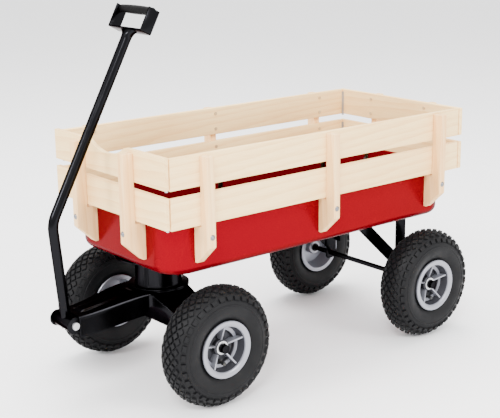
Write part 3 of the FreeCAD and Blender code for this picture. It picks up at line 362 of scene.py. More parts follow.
def wood_grain():
    """Group: growth rings and fibres that run along the vector's Z."""
    if "Wood Grain" in bpy.data.node_groups:
        return bpy.data.node_groups["Wood Grain"]
    group, given, out = new_group(
        "Wood Grain", [("Vector", "Vector"), ("Pale", "Color"), ("Dark", "Color")],
        [("Color", "Color"), ("Roughness", "Float"), ("Height", "Float")])
    stretched = node_in(group, "ShaderNodeMapping",
                        {"Vector": given.outputs["Vector"], "Scale": (1.0, 1.0, 0.055)})
    warp = node_in(group, "ShaderNodeTexNoise",
                   {"Vector": stretched.outputs[0], "Scale": 9.0, "Detail": 2.0})
    bent = node_in(group, "ShaderNodeVectorMath",
                   {0: warp.outputs["Color"], 1: (0.05, 0.05, 0.05)}, operation="MULTIPLY")
    path = node_in(group, "ShaderNodeVectorMath",
                   {0: stretched.outputs[0], 1: bent.outputs[0]}, operation="ADD")
    rings = node_in(group, "ShaderNodeTexWave",
                    {"Vector": path.outputs[0], "Scale": 34.0, "Distortion": 3.0,
                     "Detail": 2.0, "Detail Scale": 1.4},
                    wave_type="BANDS", bands_direction="DIAGONAL", wave_profile="SAW")
    fibre = node_in(group, "ShaderNodeTexNoise",
                    {"Vector": stretched.outputs[0], "Scale": 420.0, "Detail": 3.0})
    plank = node_in(group, "ShaderNodeTexNoise",
                    {"Vector": given.outputs["Vector"], "Scale": 3.4, "Detail": 1.0})
    ring_part = node_in(group, "ShaderNodeMapRange",
                        {"Value": rings.outputs["Fac"], "From Min": 0.35, "To Max": 0.42})
    fibre_part = node_in(group, "ShaderNodeMapRange",
                         {"Value": fibre.outputs["Fac"], "From Min": 0.4, "From Max": 0.75,
                          "To Max": 0.30})
    plank_part = node_in(group, "ShaderNodeMapRange",
                         {"Value": plank.outputs["Fac"], "From Min": 0.35, "From Max": 0.7,
                          "To Max": 0.35})
    both = node_in(group, "ShaderNodeMath", {0: ring_part.outputs[0], 1: fibre_part.outputs[0]},
                   operation="ADD")
    depth = node_in(group, "ShaderNodeMath", {0: both.outputs[0], 1: plank_part.outputs[0]},
                    operation="ADD", use_clamp=True)
    colour = node_in(group, "ShaderNodeMix",
                     {"Factor": depth.outputs[0]}, data_type="RGBA")
    group.links.new(given.outputs["Pale"], colour.inputs[MIX_FIRST])
    group.links.new(given.outputs["Dark"], colour.inputs[MIX_SECOND])
    rough = node_in(group, "ShaderNodeMapRange",
                    {"Value": fibre.outputs["Fac"], "To Min": 0.50, "To Max": 0.72})
    group.links.new(colour.outputs[MIX_RESULT], out.inputs["Color"])
    group.links.new(rough.outputs[0], out.inputs["Roughness"])
    group.links.new(both.outputs[0], out.inputs["Height"])
    return group


def new_material(name, **sockets):
    """A material with its Principled shader's plain values set."""
    if name in bpy.data.materials:
        return bpy.data.materials[name], None, None
    material = bpy.data.materials.new(name)
    material.use_nodes = True
    tree = material.node_tree
    shader = tree.nodes["Principled BSDF"]
    for socket, value in sockets.items():
        shader.inputs[socket.replace("_", " ")].default_value = value
    return material, tree, shader


def marked(name, colour, scale, lowest, highest, bump, variation=0.12, **sockets):
    """A painted, plated or moulded finish: its colour and gloss drift a little."""
    material, tree, shader = new_material(name, **sockets)
    if tree is None:
        return material
    place = node_in(tree, "ShaderNodeTexCoord")
    marks = node_in(tree, "ShaderNodeGroup", node_tree=surface_marks())
    tree.links.new(place.outputs["Object"], marks.inputs["Vector"])
    for socket, value in (("Scale", scale), ("Lowest", lowest), ("Highest", highest)):
        marks.inputs[socket].default_value = value
    darker = tuple(channel * (1 - variation) for channel in colour)
    tint = node_in(tree, "ShaderNodeMix", {"Factor": marks.outputs["Mask"]}, data_type="RGBA")
    tint.inputs[MIX_FIRST].default_value = (*darker, 1)
    tint.inputs[MIX_SECOND].default_value = (*colour, 1)
    height = node_in(tree, "ShaderNodeBump",
                     {"Height": marks.outputs["Height"], "Strength": bump, "Distance": 0.0004})
    tree.links.new(tint.outputs[MIX_RESULT], shader.inputs["Base Color"])
    tree.links.new(marks.outputs["Roughness"], shader.inputs["Roughness"])
    tree.links.new(height.outputs[0], shader.inputs["Normal"])
    return material


def pine(along):
    """Planed pine whose grain runs along X, Y or Z; the upright stakes' wood is warmer."""
    material, tree, shader = new_material(f"Planed pine along {along}", Coat_Weight=0.04)
    if tree is None:
        return material
    turns = {"X": (0, math.pi / 2, 0), "Y": (math.pi / 2, 0, 0), "Z": (0, 0, 0)}
    colours = bpy.context.scene.wagon_colours
    place = node_in(tree, "ShaderNodeTexCoord")
    turn = node_in(tree, "ShaderNodeMapping",
                   {"Vector": place.outputs["Object"], "Rotation": turns[along]})
    grain = node_in(tree, "ShaderNodeGroup", node_tree=wood_grain())
    tree.links.new(turn.outputs[0], grain.inputs["Vector"])
    upright = along == "Z"
    pale, dark = ((colours.stake, colours.stake_ring) if upright
                  else (colours.pine, colours.ring))
    grain.inputs["Pale"].default_value = (*pale, 1)
    grain.inputs["Dark"].default_value = (*dark, 1)
    height = node_in(tree, "ShaderNodeBump",
                     {"Height": grain.outputs["Height"], "Strength": 0.25, "Distance": 0.0005})
    tree.links.new(grain.outputs["Color"], shader.inputs["Base Color"])
    tree.links.new(grain.outputs["Roughness"], shader.inputs["Roughness"])
    tree.links.new(height.outputs[0], shader.inputs["Normal"])
    return material


# Each finish's name, its colour, how its gloss and height drift, and its plain shader values.
FINISHES = {
    "red_enamel": ("Red enamel", "red", dict(
        scale=7, lowest=0.18, highest=0.28, bump=0.05, variation=0.08,
        Metallic=0.5, Specular_IOR_Level=0.05, Specular_Tint=(0.1, 0, 0, 1))),
    "black_enamel": ("Black enamel", "black", dict(
        scale=22, lowest=0.16, highest=0.26, bump=0.06,
        Metallic=1.0, Specular_Tint=(0.4, 0.38, 0.38, 1))),
    "zinc_steel": ("Zinc plate", "zinc", dict(
        scale=60, lowest=0.24, highest=0.42, bump=0.10, variation=0.25, Metallic=1.0)),
    "tyre_rubber": ("Tyre rubber", "rubber", dict(
        scale=30, lowest=0.46, highest=0.64, bump=0.25, variation=0.3,
        Specular_IOR_Level=0.14)),
    "bright_steel": ("Bright steel", "bright", dict(
        scale=60, lowest=0.24, highest=0.42, bump=0.10, variation=0.15, Metallic=0.8)),
    "yellow_steel": ("Yellow plate", "screw", dict(
        scale=60, lowest=0.30, highest=0.45, bump=0.10, variation=0.15, Metallic=0.5)),
    "rim_plastic": ("Silver rim", "rim", dict(
        scale=26, lowest=0.30, highest=0.42, bump=0.10, variation=0.10, Metallic=0.6)),
    # Painted shade: a darker copy of the rim's finish, laid on the deep dish where shade falls
    "rim_painted_shade": ("Shaded rim", "painted_dish_shade", dict(
        scale=26, lowest=0.38, highest=0.5, bump=0.10, variation=0.15, Metallic=0.5)),
    "bush_plastic": ("Bush nylon", "bush", dict(
        scale=40, lowest=0.40, highest=0.55, bump=0.10)),
    "valve_rubber": ("Valve rubber", "valve", dict(
        scale=60, lowest=0.45, highest=0.60, bump=0.15)),
    "grip_plastic": ("Grip foam", "grip", dict(
        scale=90, lowest=0.42, highest=0.6, bump=0.3, variation=0.25,
        Specular_IOR_Level=0.06)),
}


def finish_of(key):
    """The material of one of the finishes."""
    name, colour, marks = FINISHES[key]
    return marked(name, getattr(bpy.context.scene.wagon_colours, colour), **marks)


# ---------------------------------------------------------------- tub

def make_tub():
    """A pressed pan with round corners and a rolled rim."""
    sizes = bpy.context.scene.wagon_sizes
    low, high = (Vector(corner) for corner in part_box("tub"))
    stand_out = 5 * MM
    curl_steps, curl_turn = 10, math.radians(27)
    hub = (low + high) / 2
    half = Vector((high.x - hub.x - stand_out, high.y - hub.y - stand_out, 0))
    rim_start = high.z - 1.03 * sizes.bead
    tub = block("tub_shell", (hub.x - half.x, hub.y - half.y, low.z),
                (hub.x + half.x, hub.y + half.y, rim_start))
    with editing(tub):
        pick("edges", lambda edge: abs(run(edge).z) > 0.9)
        bpy.ops.mesh.bevel(offset=sizes.tub_corner, segments=16, affect="EDGES")
        pick("edges", lambda edge: all(vert.co.z < low.z + 0.1 * MM for vert in edge.verts))
        bpy.ops.mesh.bevel(offset=sizes.tub_round, segments=7, affect="EDGES")
        pick("faces", lambda face: face.normal.z > 0.9)
        bpy.ops.mesh.delete(type="FACE")
        pick("edges", lambda edge: edge.is_boundary)
        out, up = 0.0, 0.0
        for step in range(1, curl_steps + 1):
            angle = math.pi - curl_turn * step
            next_out = sizes.bead * (1 + math.cos(angle))
            next_up = sizes.bead * math.sin(angle)
            bpy.ops.mesh.extrude_region_move(
                TRANSFORM_OT_translate={"value": (0, 0, next_up - up)})
            bpy.ops.transform.resize(
                value=((half.x + next_out) / (half.x + out),
                       (half.y + next_out) / (half.y + out), 1), center_override=hub)
            out, up = next_out, next_up
        tidy_mesh()
    modify(tub, "SOLIDIFY", thickness=sizes.tub_sheet, offset=-1, use_even_offset=True)
    dressed(tub, finish_of("red_enamel"), "wagon", ["tub"], angle=50)


# ---------------------------------------------------------------- rails

def cut_notch(board, top):
    """Scoop the handle's notch out of the front board and round its shoulders."""
    sizes = bpy.context.scene.wagon_sizes
    hub = middle("front_board_upper")
    through = 60 * MM
    scoop = start("cylinder", "scoop", vertices=160, radius=sizes.notch_radius, depth=through,
                  location=(0, hub.y, top - sizes.notch_depth + sizes.notch_radius),
                  rotation=(math.pi / 2, 0, 0))
    modify(board, "BOOLEAN", object=scoop, operation="DIFFERENCE", solver="EXACT")
    remove(scoop)
    drop = sizes.notch_radius - sizes.notch_depth
    reach = math.sqrt(sizes.notch_radius ** 2 - drop ** 2)
    with editing(board):
        pick("edges", lambda edge: abs(run(edge).y) > 0.9 and abs(centre(edge).z - top) < MM
             and abs(abs(centre(edge).x) - reach) < MM)
        bpy.ops.mesh.bevel(offset=sizes.notch_shoulder / 2, segments=6, affect="EDGES")


def make_boards():
    """Eight planed boards with slightly rounded edges."""
    sizes = bpy.context.scene.wagon_sizes
    for place in SIDES + ENDS:
        for level in ("upper", "lower"):
            node = f"{place}_board_{level}"
            low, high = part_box(node)
            board = block(f"{place}_plank_{level}", low, high)
            if node == "front_board_upper":
                cut_notch(board, high[2])
            soften(board, sizes.board_edge, 3, 40)
            along = "Y" if place in SIDES else "X"
            dressed(board, pine(along), "wagon", [node])


def make_stakes():
    """Ten upright stakes: drawn once facing +X, then copied to each side and end."""
    sizes = bpy.context.scene.wagon_sizes
    low, high = (Vector(corner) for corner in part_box("left_stake_middle"))
    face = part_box("left_board_upper")[1][0]
    half = (high.y - low.y) / 2
    inner, outer = low.x - face, high.x - face
    stake = block("stake_pattern", (inner, -half, low.z), (outer, half, sizes.stake_shoulder))
    with editing(stake):
        bpy.ops.mesh.select_all(action="SELECT")
        bpy.ops.mesh.bisect(plane_co=(0, 0, 0), plane_no=(1, 0, 0))
        pick("faces", lambda part: part.normal.z > 0.9 and centre(part).x > 0)
        bpy.ops.mesh.extrude_region_move(
            TRANSFORM_OT_translate={"value": (0, 0, high.z - sizes.stake_shoulder)})
        bpy.ops.mesh.select_all(action="SELECT")
        toe = inner + sizes.stake_toe
        rise = sizes.bevel_top - low.z
        bpy.ops.mesh.bisect(plane_co=(toe, 0, low.z), plane_no=(rise, 0, toe - outer),
                            use_fill=True, clear_outer=True)
        bpy.ops.mesh.select_all(action="SELECT")
        bpy.ops.mesh.dissolve_limited(angle_limit=math.radians(1.0))
        tidy_mesh()
    soften(stake, sizes.stake_edge, 3, 20)
    faces = {"left": (face, 0), "right": (-face, 180),
             "front": (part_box("front_board_upper")[0][1], -90),
             "rear": (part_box("rear_board_upper")[1][1], 90)}
    for node in sorted(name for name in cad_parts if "_stake_" in name):
        side = node.split("_")[0]
        reach, turn = faces[side]
        hub = middle(node)
        spot = (reach, hub.y, 0) if side in SIDES else (hub.x, reach, 0)
        matrix = Matrix.Translation(spot) @ Matrix.Rotation(math.radians(turn), 4, "Z")
        twin = copy_of(stake, node.replace("stake", "post"), matrix)
        dressed(twin, pine("Z"), "wagon", [node])
    remove(stake)


# ---------------------------------------------------------------- wheels

def section_angle(point, ring):
    """Angle of a point round the tyre's section: 0 on the crown, 90 on a sidewall."""
    radial = math.hypot(point.y, point.z) - ring
    return math.degrees(math.atan2(point.x, radial))


def emboss(gap, slope, height, **settings):
    """In edit mode, inset the selected faces and raise what is left."""
    bpy.ops.mesh.inset(thickness=gap, **settings)
    bpy.ops.mesh.inset(thickness=slope, depth=height, **settings)


def make_tyre_pattern():
    """A tyre at the origin, its axle along X: diamond tread, shoulder lugs, bead ring."""
    sizes = bpy.context.scene.wagon_sizes
    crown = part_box("tyre_front_left")[1][2] - middle("tyre_front_left").z
    section = sizes.tyre_section - sizes.tread_depth
    ring = crown - sizes.tyre_section
    tread, lugs, side_ridge, bead_ring, inside = (0, 36), (46, 67), (69, 89), (137, 156), (150, 181)
    ridge_height = 0.9 * MM
    carcass = 4 * MM

    def within(angles):
        """Test for faces between two angles of the section."""
        first, last = angles
        return lambda face: first <= abs(section_angle(centre(face), ring)) < last

    def diagonal(edge):
        """True for the edges that halve a diamond of the tread."""
        return (len(edge.link_faces) == 2 and all(len(vert.link_edges) > 4 for vert in edge.verts)
                and all(len(face.verts) == 3 for face in edge.link_faces))

    tyre = start("torus", "tyre_pattern", align="WORLD", rotation=(0, math.pi / 2, 0),
                 major_segments=sizes.tread_count, minor_segments=16, major_radius=ring,
                 minor_radius=section, generate_uvs=False)
    with editing(tyre):
        pick("faces", within(inside))
        bpy.ops.mesh.delete(type="FACE")
        pick("faces", within(tread))
        bpy.ops.mesh.poke()
        pick("edges", diagonal)
        bpy.ops.mesh.dissolve_edges(use_verts=False)
        pick("faces", within(tread))
        emboss(sizes.groove, 0.5 * sizes.groove, sizes.tread_depth, use_individual=True)
        pick("faces", within(lugs))
        emboss(1.9 * sizes.groove, 0.5 * sizes.groove, sizes.tread_depth, use_individual=True)
        pick("faces", within(side_ridge))
        emboss(5.5 * MM, 0.8 * MM, ridge_height)
        pick("faces", within(bead_ring))
        emboss(3.5 * MM, 0.7 * MM, ridge_height)
        bpy.ops.mesh.select_all(action="SELECT")
        bpy.ops.mesh.normals_make_consistent(inside=False)
    modify(tyre, "SOLIDIFY", thickness=carcass, offset=-1)
    return tyre


def make_rim_pattern():
    """A rim at the origin, its outer face towards +X: flange, dish, hub and ribs, with painted
    shade in the dish.
    """
    sizes = bpy.context.scene.wagon_sizes
    flange, half = sizes.flange, sizes.rim_half
    low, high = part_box("hub_bush_front_left")
    hub_end, hub_radius, bore = (high[0] - low[0]) / 2, 17.5 * MM, 11 * MM
    opening, web = flange - 13 * MM, 42 * MM
    step, dish_floor = 12.4 * MM, 4 * MM
    step_middle, step_inner = 12.7 * MM, 30 * MM
    rib_half, rib_rise = 1.9 * MM, 30 * MM
    outer_face = [
        (half - 0.4 * MM, flange - 0.4 * MM), (half + 0.6 * MM, flange - 1.6 * MM),
        (half + 0.8 * MM, flange - 4 * MM), (half - 0.6 * MM, flange - 9.5 * MM),
        (half - 2.2 * MM, flange - 12 * MM), (half - 4.6 * MM, opening),
        (15 * MM, web + 1.5 * MM), (13 * MM, web + 0.8 * MM), (step, web - 1 * MM),
        (step, web - 6 * MM), (11.6 * MM, web - 7 * MM), (5 * MM, web - 8 * MM),
        (dish_floor, web - 9.5 * MM), (dish_floor, hub_radius + 2 * MM), (6 * MM, hub_radius)]
    hub = [(hub_end - 2 * MM, hub_radius), (hub_end, hub_radius - 2 * MM), (hub_end, bore),
           (-hub_end, bore), (-hub_end, hub_radius - 2 * MM), (-hub_end + 2 * MM, hub_radius)]
    inner_face = [(0, hub_radius), (0, web), (-10 * MM, 43.5 * MM), (-20 * MM, 46 * MM),
                  (-half, flange - 9.5 * MM), (-half, flange - 1 * MM), (-half + 1 * MM, flange)]
    bed = [(half - 3 * MM, flange), (half - 5 * MM, 53.8 * MM), (18 * MM, 51.8 * MM),
           (10 * MM, 47.5 * MM)]
    inner_bed = [(-along, radius) for along, radius in bed]
    profile = outer_face + hub + inner_face + inner_bed + bed[::-1]
    rim = turned("rim_pattern", profile, steps=72)
    rim.data.materials.append(finish_of("rim_plastic"))
    rim.data.materials.append(finish_of("rim_painted_shade"))
    # Painted shade: faces deep in the dish take the dark second material; the step that faces out,
    # which the light reaches, keeps the rim's own silver
    for face in rim.data.polygons:
        radius = math.hypot(face.center.y, face.center.z)
        lit_step = abs(face.center.x - step_middle) < 0.5 * MM and radius > step_inner
        # deep marks the faces that get the painted shade
        deep = face.center.x > 2 * MM and radius < opening - 0.2 * MM
        face.material_index = int(deep and not lit_step)
    rib = block("rib_pattern", (2 * MM, -rib_half, hub_radius - 2 * MM),
                (hub_end - 1 * MM, rib_half, opening - 0.5 * MM))
    with editing(rib):
        pick("verts", lambda vert: vert.co.x > 10 * MM and vert.co.z > 40 * MM)
        bpy.ops.transform.translate(value=(rib_rise - hub_end, 0, 0))
    soften(rib, 0.8 * MM, 2)
    rib.data.materials.append(finish_of("rim_plastic"))
    pieces = [rim]
    for index in range(sizes.rib_count):
        turn = Matrix.Rotation(index * math.tau / sizes.rib_count, 4, "X")
        pieces.append(copy_of(rib, f"rib_{index}", turn))
    remove(rib)
    return joined(pieces)


def make_axle_ends():
    """On each axle's ends a bright washer and a black cap with a split pin."""
    bore, washer_edge, washer_radius = 6.2 * MM, 13.2 * MM, 14 * MM
    washer = turned("washer_pattern", [
        (0, bore), (0, washer_edge), (0.5 * MM, washer_radius), (1.2 * MM, washer_radius),
        (1.7 * MM, washer_edge), (1.9 * MM, 11 * MM), (1.4 * MM, 10 * MM), (1.4 * MM, bore)],
        steps=48)
    collar, side, cap_bore, cap_end = 9.9 * MM, 9.2 * MM, 5.5 * MM, 13.3 * MM
    cap = turned("cap_pattern", [
        (1.5 * MM, cap_bore), (1.5 * MM, collar), (4.2 * MM, collar), (4.8 * MM, side),
        (11.9 * MM, side), (12.9 * MM, 8.8 * MM), (cap_end, 7.8 * MM), (cap_end, 0.5 * MM),
        (8.5 * MM, 0.5 * MM), (8.5 * MM, cap_bore)], steps=40)
    pin_radius, pin_length, play = 0.9 * MM, 24 * MM, 0.5 * MM
    pin = start("cylinder", "pin_pattern", vertices=16, radius=pin_radius, depth=pin_length,
                location=(2.9 * MM, 0, 0))
    soften(pin, 0.4 * MM, 2)
    for end in ENDS:
        body = "steering" if end == "front" else "wagon"
        metal, caps = [], []
        for hand, turn in (("left", 0), ("right", math.pi)):
            hub = middle(f"hub_bush_{end}_{hand}")
            low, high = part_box(f"hub_bush_{end}_{hand}")
            reach = math.copysign((high[0] - low[0]) / 2 + play, hub.x)
            matrix = (Matrix.Translation(hub + Vector((reach, 0, 0)))
                      @ Matrix.Rotation(turn, 4, "Z"))
            metal += [copy_of(washer, f"washer_{end}_{hand}", matrix),
                      copy_of(pin, f"split_pin_{end}_{hand}", matrix)]
            caps.append(copy_of(cap, f"axle_cap_{end}_{hand}", matrix))
        node = f"{end}_axle_retainers"
        dressed(joined(metal), finish_of("bright_steel"), body, [node])
        dressed(joined(caps), finish_of("black_enamel"), body, [node])
    for pattern in (washer, cap, pin):
        remove(pattern)


def make_wheels():
    """Four tyres and four rims, each modelled once and copied."""
    tyre, rim = make_tyre_pattern(), make_rim_pattern()
    for wheel in WHEELS:
        hub = middle(f"hub_bush_{wheel}")
        turn = 0 if wheel.endswith("left") else math.pi
        matrix = Matrix.Translation(hub) @ Matrix.Rotation(turn, 4, "Z")
        body = f"wheel_{wheel}"
        dressed(copy_of(tyre, f"tread_{wheel}", matrix), finish_of("tyre_rubber"), body,
                [f"tyre_{wheel}"], angle=28)
        # Each rim's second material is the painted shade of its dish
        dressed(copy_of(rim, f"dish_{wheel}", matrix),
                (finish_of("rim_plastic"), finish_of("rim_painted_shade")), body,
                [f"rim_{wheel}"], angle=30)
    remove(tyre)
    remove(rim)


# ---------------------------------------------------------------- handle

def make_tube():
    """The bent tube from the hinge up to the loop, flared where it is welded on."""
    sizes = bpy.context.scene.wagon_sizes
    hinge = middle("handle_barrel")
    low_lean = math.atan2(sizes.bend_ahead, sizes.bend_up)
    turn = low_lean + sizes.stem_tilt
    tangent = sizes.bend * math.tan(turn / 2)
    first = Vector((0, -math.sin(low_lean), math.cos(low_lean)))
    second = Vector((0, math.sin(sizes.stem_tilt), math.cos(sizes.stem_tilt)))
    corner = hinge + Vector((0, -sizes.bend_ahead, sizes.bend_up))
    barrel_radius = 11 * MM
    begin = hinge + first * barrel_radius
    bend_start = corner - first * tangent
    inner = Vector((0, math.cos(low_lean), math.sin(low_lean)))
    pivot = bend_start + inner * sizes.bend
    tube = start("circle", "bent_tube", vertices=40, radius=sizes.tube, fill_type="NGON",
                 location=begin, rotation=(low_lean, 0, 0))
    with editing(tube):
        bpy.ops.mesh.select_all(action="SELECT")
        bpy.ops.mesh.extrude_region_move(TRANSFORM_OT_translate={"value": bend_start - begin})
        bpy.ops.mesh.spin(steps=14, angle=turn, center=pivot, axis=(1, 0, 0))
        neck = corner + second * sizes.stem
        here = corner + second * tangent
        # back from the loop in millimetres, then how wide and how deep the tube gets
        flare = [(18, 1.0, 1.0), (11, 1.12, 1.0), (5, 1.5, 0.95), (0, 1.5, 0.95)]
        for back, across, deep in flare:
            there = neck - second * (back * MM)
            bpy.ops.mesh.extrude_region_move(TRANSFORM_OT_translate={"value": there - here})
            bpy.ops.transform.resize(value=(across, deep, deep), center_override=there)
            here = there
        tidy_mesh()
    dressed(tube, finish_of("black_enamel"), "handle", ["handle_tube"], angle=50)


def loop_place():
    """Where the loop stands: its origin at the stem's end, Z along the stem."""
    sizes = bpy.context.scene.wagon_sizes
    hinge = middle("handle_barrel")
    corner = hinge + Vector((0, -sizes.bend_ahead, sizes.bend_up))
    along = Vector((0, math.sin(sizes.stem_tilt), math.cos(sizes.stem_tilt)))
    return (Matrix.Translation(corner + along * sizes.stem)
            @ Matrix.Rotation(-sizes.stem_tilt, 4, "X"))


def make_loop():
    """A flat strap bent into a U whose open end holds the grip."""
    sizes = bpy.context.scene.wagon_sizes
    half, tall, deep, corner = 57.7 * MM, 49.5 * MM, 26.3 * MM, 3 * MM
    loop = block("loop_pattern", (-half, -deep / 2, 0), (half, deep / 2, tall))
    with editing(loop):
        pick("edges", lambda edge: abs(run(edge).y) > 0.9 and centre(edge).z < MM)
        bpy.ops.mesh.bevel(offset=corner, segments=5, affect="EDGES")
        pick("faces", lambda face: abs(face.normal.y) > 0.9 or face.normal.z > 0.9)
        bpy.ops.mesh.delete(type="FACE")
        bpy.ops.mesh.select_all(action="SELECT")
        bpy.ops.mesh.normals_make_consistent(inside=False)
    modify(loop, "SOLIDIFY", thickness=sizes.strap, offset=-1, use_even_offset=True)
    soften(loop, 0.7 * MM, 2, 60)
    strap = copy_of(loop, "strap_loop", loop_place())
    remove(loop)
    dressed(strap, finish_of("black_enamel"), "handle", ["handle_loop"])


def make_grip():
    """A round grip between the strap's arms, fuller in the middle."""
    half, fullest, end, bore, lip = 54.9 * MM, 9.0 * MM, 7.6 * MM, 4 * MM, 1.5 * MM
    up_the_strap = 44.5 * MM
    count = 14
    profile = [(-half, bore), (-half, end - lip)]
    for index in range(count + 1):
        along = -1 + 2 * index / count
        profile.append((along * (half - lip), end + (fullest - end) * (1 - along * along)))
    profile += [(half, end - lip), (half, bore)]
    grip = turned("grip_pattern", profile, steps=48)
    rise = Matrix.Translation((0, 0, up_the_strap))
    sleeve = copy_of(grip, "grip_sleeve", loop_place() @ rise)
    remove(grip)
    dressed(sleeve, finish_of("grip_plastic"), "handle", ["handle_grip"])


# ---------------------------------------------------------------- steering and undercarriage

def smooth(value):
    """0 below 0, 1 above 1, and an even S between."""
    value = min(max(value, 0.0), 1.0)
    return value * value * (3 - 2 * value)


def tongue_point(across, ahead, reach):
    """A point of the tongue's sheet: across from -1 to 1, ahead from the king pin."""
    plate_share, tip = 0.78, reach - 14 * MM
    front_half, widening, flaring = 35 * MM, 15 * MM, 62 * MM
    front_top, climb = 195 * MM, 16 * MM
    front_flange, deepening = 13 * MM, 31 * MM
    rib_half, rib_height, rib_end = 17 * MM, 3.2 * MM, reach - 22 * MM
    straight_half, slope, flange_lean = 50 * MM, 0.46, 1.2 * MM
    flare = smooth((64 * MM - ahead) / (22 * MM)) ** 2
    half = front_half + widening * smooth((tip - ahead) / (170 * MM)) + flaring * flare
    top = front_top + climb * smooth((tip - ahead) / (158 * MM))
    drop = front_flange + deepening * smooth((ahead - 46 * MM) / (26 * MM))
    x = half * min(abs(across) / plate_share, 1.0)
    shoulder = max(0.0, x - straight_half) * slope
    ridge = smooth((rib_half - x) / (5 * MM)) * smooth((rib_end - ahead) / (14 * MM))
    z = top - shoulder + rib_height * ridge * smooth((ahead - 66 * MM) / (14 * MM))
    if abs(across) > plate_share:
        z -= drop * (abs(across) - plate_share) / (1 - plate_share)
        x += flange_lean
    return math.copysign(x, across), z


def make_tongue():
    """The pressed tongue: a flanged plate with a raised rib, flared into the carrier."""
    sizes = bpy.context.scene.wagon_sizes
    king, hinge = middle("king_pin"), middle("handle_barrel")
    reach = king.y - hinge.y
    stop_edge, back = 9.8 * MM, 41.5 * MM
    front = reach - stop_edge
    tongue = start("grid", "tongue_pressing", x_subdivisions=80, y_subdivisions=90, size=2)
    for vert in tongue.data.vertices:
        across, along = vert.co.x, (vert.co.y + 1) / 2
        ahead = front + (back - front) * along
        x, z = tongue_point(across, ahead, reach)
        vert.co = (x, king.y - ahead, z)
    with editing(tongue):
        bpy.ops.mesh.select_all(action="SELECT")
        bpy.ops.mesh.normals_make_consistent(inside=False)
    modify(tongue, "SOLIDIFY", thickness=sizes.tongue_sheet, offset=-1)
    soften(tongue, 0.6 * MM, 2, 50)
    ear_radius, ear_sheet, ear_place = 17 * MM, 2.6 * MM, 33.9 * MM
    plate_radius, plate_sheet, plate_height = 64 * MM, 3 * MM, 209.4 * MM
    parts = []
    for sign in (1, -1):
        parts.append(start("cylinder", "ear", vertices=64, radius=ear_radius, depth=ear_sheet,
                           location=(sign * ear_place, hinge.y, hinge.z),
                           rotation=(0, math.pi / 2, 0)))
    parts.append(start("cylinder", "lower_plate", vertices=96, radius=plate_radius,
                       depth=plate_sheet, location=(0, king.y, plate_height)))
    for piece in parts:
        soften(piece, 0.8 * MM, 2)
    dressed(joined([tongue, *parts]), finish_of("black_enamel"), "steering",
            ["tongue"], angle=40)


def make_pressed_steel():
    """The rest of the black steel, with its edges rounded."""
    sizes = bpy.context.scene.wagon_sizes
    edge = sizes.steel_edge
    pieces = [("front_axle_carrier", "steering", 3.0 * edge), ("turntable_dish", "wagon", edge),
              ("handle_barrel", "handle", edge)]
    for side in SIDES:
        pieces += [(f"rear_leg_{side}", "wagon", 0.7 * edge),
                   (f"rear_brace_{side}", "wagon", 0.7 * edge)]
    for node, body, width in pieces:
        piece = from_node(node, width)
        dressed(piece, finish_of("black_enamel"), body, [node], angle=40)


def dress_frame():
    """Finishes for the frame's own pieces that nothing stands for."""
    starts = (("hub_bush", "bush_plastic"), ("valve_stem", "valve_rubber"),
              ("corner_brackets", "bright_steel"), ("board_screws", "yellow_steel"),
              ("rear_axle", "black_enamel"), ("front_axle", "black_enamel"),
              ("hinge_bolt", "bright_steel"))
    shown = {node: thing for node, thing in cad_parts.items() if not thing.hide_render}
    for node, thing in shown.items():
        finish = next((key for start_of, key in starts if node.startswith(start_of)),
                      "zinc_steel")
        for place in thing.material_slots:
            place.material = finish_of(finish)


# ---------------------------------------------------------------- stage

def make_stage():
    """A pale floor, soft light and the camera."""
    floor = start("plane", "studio_floor", size=60)
    floor.data.materials.append(marked(
        "Studio floor", bpy.context.scene.wagon_colours.floor,
        scale=2, lowest=0.75, highest=0.9, bump=0.02, variation=0.01))
    world = bpy.data.worlds.new("Studio")
    world.use_nodes = True
    background = world.node_tree.nodes["Background"]
    background.inputs["Color"].default_value = (1, 1, 1, 1)
    background.inputs["Strength"].default_value = 2.2
    bpy.context.scene.world = world
    # name, place, width in metres, power in watts
    lights = (("key", (2.6, -2.8, 3.2), 1.2, 230), ("side", (3.8, 0.6, 2.0), 1.4, 130),
              ("top", (-0.8, 0.4, 4.0), 2.6, 260), ("strip", (-0.2, -3.4, 1.9), 0.7, 90))
    target = Vector((0, 0, 0.35))
    for name, place, width, power in lights:
        bpy.ops.object.light_add(type="AREA", location=place)
        light = bpy.context.object
        light.name = f"{name}_light"
        light.data.shape = "SQUARE"
        light.data.size = width
        light.data.energy = power
        aim = target - Vector(place)
        light.rotation_euler = aim.to_track_quat("-Z", "Y").to_euler()
    down, heading, roll = 15.499, 49.844, -0.438
    bpy.ops.object.camera_add(location=(1.9427, -1.5675, 0.9856))
    camera = bpy.context.object
    look = Euler((math.radians(90 - down), 0, math.radians(heading))).to_matrix()
    camera.rotation_euler = (look @ Matrix.Rotation(math.radians(roll), 3, "Z")).to_euler()
    camera.data.sensor_width = 36
    camera.data.lens = 83.65
    camera.data.shift_x = -0.0485
    camera.data.shift_y = 0.0288
    camera.data.clip_end = 200
    bpy.context.scene.camera = camera


# ---------------------------------------------------------------- operators and panel

class WAGON_OT_tub(bpy.types.Operator):
    """Model the pressed tub"""
    bl_idname = "wagon.tub"
    bl_label = "Tub"

    def execute(self, context):
        make_tub()
        return {"FINISHED"}


class WAGON_OT_boards(bpy.types.Operator):
    """Model the eight rail boards"""
    bl_idname = "wagon.boards"
    bl_label = "Boards"

    def execute(self, context):
        make_boards()
        return {"FINISHED"}


class WAGON_OT_stakes(bpy.types.Operator):
    """Model the ten stakes"""
    bl_idname = "wagon.stakes"
    bl_label = "Stakes"

    def execute(self, context):
        make_stakes()
        return {"FINISHED"}


class WAGON_OT_wheels(bpy.types.Operator):
    """Model the tyres and rims"""
    bl_idname = "wagon.wheels"
    bl_label = "Wheels"

    def execute(self, context):
        make_wheels()
        make_axle_ends()
        return {"FINISHED"}


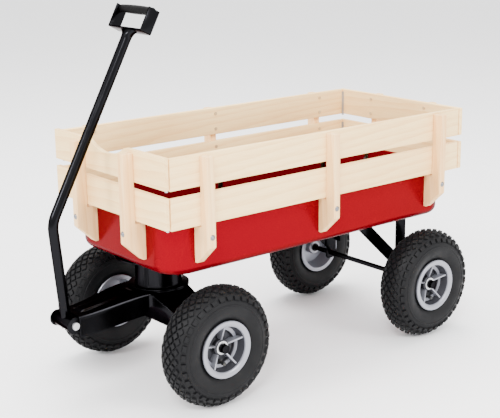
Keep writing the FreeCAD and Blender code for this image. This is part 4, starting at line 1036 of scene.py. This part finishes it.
class WAGON_OT_handle(bpy.types.Operator):
    """Model the pull handle"""
    bl_idname = "wagon.handle"
    bl_label = "Handle"

    def execute(self, context):
        make_tube()
        make_loop()
        make_grip()
        return {"FINISHED"}


class WAGON_OT_tongue(bpy.types.Operator):
    """Model the steering tongue"""
    bl_idname = "wagon.tongue"
    bl_label = "Tongue"

    def execute(self, context):
        make_tongue()
        return {"FINISHED"}


class WAGON_OT_steel(bpy.types.Operator):
    """Round and paint the steel under the tub"""
    bl_idname = "wagon.steel"
    bl_label = "Pressed steel"

    def execute(self, context):
        make_pressed_steel()
        return {"FINISHED"}


class WAGON_OT_fittings(bpy.types.Operator):
    """Finish the fasteners, axles, bushes and valves"""
    bl_idname = "wagon.fittings"
    bl_label = "Fittings"

    def execute(self, context):
        dress_frame()
        return {"FINISHED"}


class WAGON_OT_stage(bpy.types.Operator):
    """Set up the floor, the lights and the camera"""
    bl_idname = "wagon.stage"
    bl_label = "Stage"

    def execute(self, context):
        make_stage()
        return {"FINISHED"}


STEPS = (WAGON_OT_tub, WAGON_OT_boards, WAGON_OT_stakes, WAGON_OT_wheels, WAGON_OT_handle,
         WAGON_OT_tongue, WAGON_OT_steel, WAGON_OT_fittings, WAGON_OT_stage)


class WAGON_PT_panel(bpy.types.Panel):
    """The wagon's steps and settings"""
    bl_idname = "WAGON_PT_panel"
    bl_label = "Pull Wagon"
    bl_space_type = "VIEW_3D"
    bl_region_type = "UI"
    bl_category = "Pull Wagon"

    def draw(self, context):
        for step in STEPS:
            self.layout.operator(step.bl_idname)
        for group in (context.scene.wagon_sizes, context.scene.wagon_colours):
            for key in group.__annotations__:
                self.layout.prop(group, key)


CLASSES = (WagonSizes, WagonColours, *STEPS, WAGON_PT_panel)


def register():
    """Add the settings, the operators and the panel."""
    for item in CLASSES:
        bpy.utils.register_class(item)
    bpy.types.Scene.wagon_sizes = PointerProperty(type=WagonSizes)
    bpy.types.Scene.wagon_colours = PointerProperty(type=WagonColours)


def unregister():
    """Take them away again."""
    del bpy.types.Scene.wagon_colours
    del bpy.types.Scene.wagon_sizes
    for item in reversed(CLASSES):
        bpy.utils.unregister_class(item)


def main():
    """Run every step."""
    register()
    for step in STEPS:
        family, name = step.bl_idname.split(".")
        getattr(getattr(bpy.ops, family), name)()


if __name__ == "__main__":
    main()
